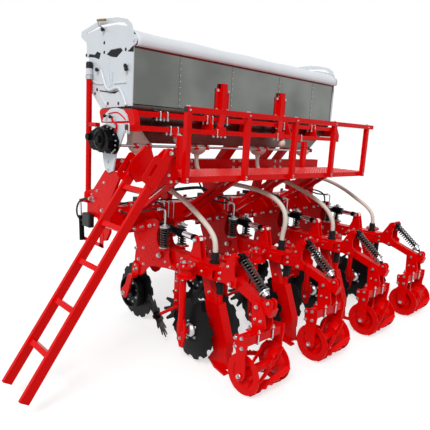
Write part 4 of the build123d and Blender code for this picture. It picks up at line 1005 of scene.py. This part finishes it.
# %% Front poles
pole_spots = [seat(s * 1401, 1590, 2000) for s in SIDES]
for label, profile, finish in (
        ("pole_sleeves", [(24, 64), (27, 64), (27, 114), (24, 114)], white_enamel),
        ("pole_caps", [(24, 114), (28, 114), (28, 152), (25, 165), (14, 169)], black_plastic),
        ("pole_bands", [(24, 27), (31, 27), (31, 60), (24, 62)], zinc),
        ("pole_foot_collars", [(24, -1010), (36, -1010), (36, -930), (30, -915), (24, -912)], red_enamel)):
    turned(label, profile, pole_spots, finish)
junction_box = plates("junction_box", [(-1468, -1416, 1446, 1576, 788, 908)], black_plastic, edge=12.0)
bracket = [(-1416, -1410, 1380, 1580, 880, 990), (-1416, -1408, 1300, 1360, 640, 770),
           (-1416, -1408, 1300, 1650, 640, 672)]
plates("junction_bracket", bracket, red_enamel)
POLE_LOOP = [(-1440, 1500, 1034), (-1446, 1560, 1030), (-1450, 1640, 1004), (-1452, 1700, 944),
             (-1452, 1704, 872), (-1450, 1656, 830), (-1446, 1550, 822)]
flexible("pole_hose", POLE_LOOP, 16)
STUB = [(9, 0), (14, 0), (14, 22), (9, 26)]
turned("pole_hose_fitting", STUB, [seat(-1440, 1476, 1034, "front")], zinc, sides=12)
rods("pole_cylinder_rod", [[(-1440, 1664, 1000), (-1440, 1652, 930), (-1440, 1641, 860)]], 12, chrome)
rods("pole_cylinder", [[(-1440, 1642, 868), (-1440, 1632, 760), (-1440, 1623, 648)]], 23, black_enamel)
lugs = [(-1444, -1412, 1640, 1676, 984, 1010), (-1440, -1414, 1560, 1662, 1000, 1012)]
plates("pole_lugs", lugs, red_enamel)

# %% [markdown]
# The deck is a pressed tread plate: a thin glossy sheet with raised studs, made by a second small tree
# on a staggered cloud of marks. The hopper's sheets are joined by folded seams with rivets,
# and a thin red rim lies under the cloth, in a darker red that is painted shade.

# %% Deck studs, hopper seams and rims
stud_tree, given = new_tree("tread_stud", {"Foot": 0.011, "Top": 0.006, "Height": 0.004})
cone = put(stud_tree, "GeometryNodeMeshCone",
           {"Vertices": 8, "Radius Bottom": given["Foot"], "Radius Top": given["Top"],
            "Depth": given["Height"]})
spread = put(stud_tree, "GeometryNodeInstanceOnPoints",
             {"Points": given["Geometry"], "Instance": cone.outputs["Mesh"]})
close_tree(stud_tree, spread.outputs[0], given["Material"])
STUD_STEP, DECK_X, DECK_Y, DECK_TOP = 40.0, (-1390.0, 930.0), (330.0, 760.0), 1351.6
studs = []
for j in range(int((DECK_Y[1] - DECK_Y[0]) / STUD_STEP) + 1):
    for i in range(int((DECK_X[1] - DECK_X[0]) / STUD_STEP) + 1):
        x = DECK_X[0] + STUD_STEP * (i + 0.5 * (j % 2))
        studs.append(seat(x, DECK_Y[0] + STUD_STEP * j, DECK_TOP))
deck_studs = grow("deck_studs", marks("deck_stud_marks", studs), stud_tree, Material=deck_enamel)
settle(deck_studs, "frame", "red_paint")
# the tread sheet's lighter red is painted light for the lit top of the deck
plates("deck_tread_sheet", [(-1412, 947, 303, 777, 1350.4, 1351.5)], deck_enamel, edge=0.3)
ROLL_Y, ROLL_Z = 975, 2289
ROLL_END = [(38, 0), (38, 6), (14, 8), (14, 14), (6, 15)]
roll_ends = [seat(COVER_X[0], ROLL_Y, ROLL_Z, "left"), seat(COVER_X[1], ROLL_Y, ROLL_Z, "right")]
turned("cover_roll_ends", ROLL_END, roll_ends, white_enamel)
SEAM_X, WALL_REAR, WALL_FRONT, RIM_Z = (-915, -319, 344, 900), 986.0, 1650.0, 2250.0
seams = [(x - 9, x + 9, WALL_REAR - 2.5, WALL_REAR + 1, 1834, RIM_Z - 22) for x in SEAM_X]
seams += [(x - 9, x + 9, WALL_FRONT - 1, WALL_FRONT + 2.5, 1990, RIM_Z - 22) for x in SEAM_X]
plates("hopper_seams", seams, stainless, edge=1.0)
rims = [(-1364, 1284, low, low + 7, RIM_Z - 16, RIM_Z - 4) for low in (WALL_REAR - 5, WALL_FRONT - 2)]
# the rim's darker red is painted shade under the cloth's edge
plates("hopper_rims", rims, edge_trim, edge=1.5)
rivets = [seat(x, WALL_REAR - 2.5, z, "back") for x in SEAM_X for z in range(1850, 2230, 48)]
rivets += [seat(x, WALL_FRONT + 2.5, z, "front") for x in SEAM_X for z in range(2006, 2230, 48)]
turned("seam_rivets", [(5, -0.5), (5, 1), (3, 2.5)], rivets, zinc, sides=8)
ends = [(-1419, -1414, 264, 298, 1771, 1805), (959, 964, 264, 298, 1771, 1805),
        (-1468, -1463, 883, 917, 1634, 1668)]
plates("tube_plugs", ends, black_plastic, edge=2.0)
print("deck studs", len(studs), "rivets", len(rivets))
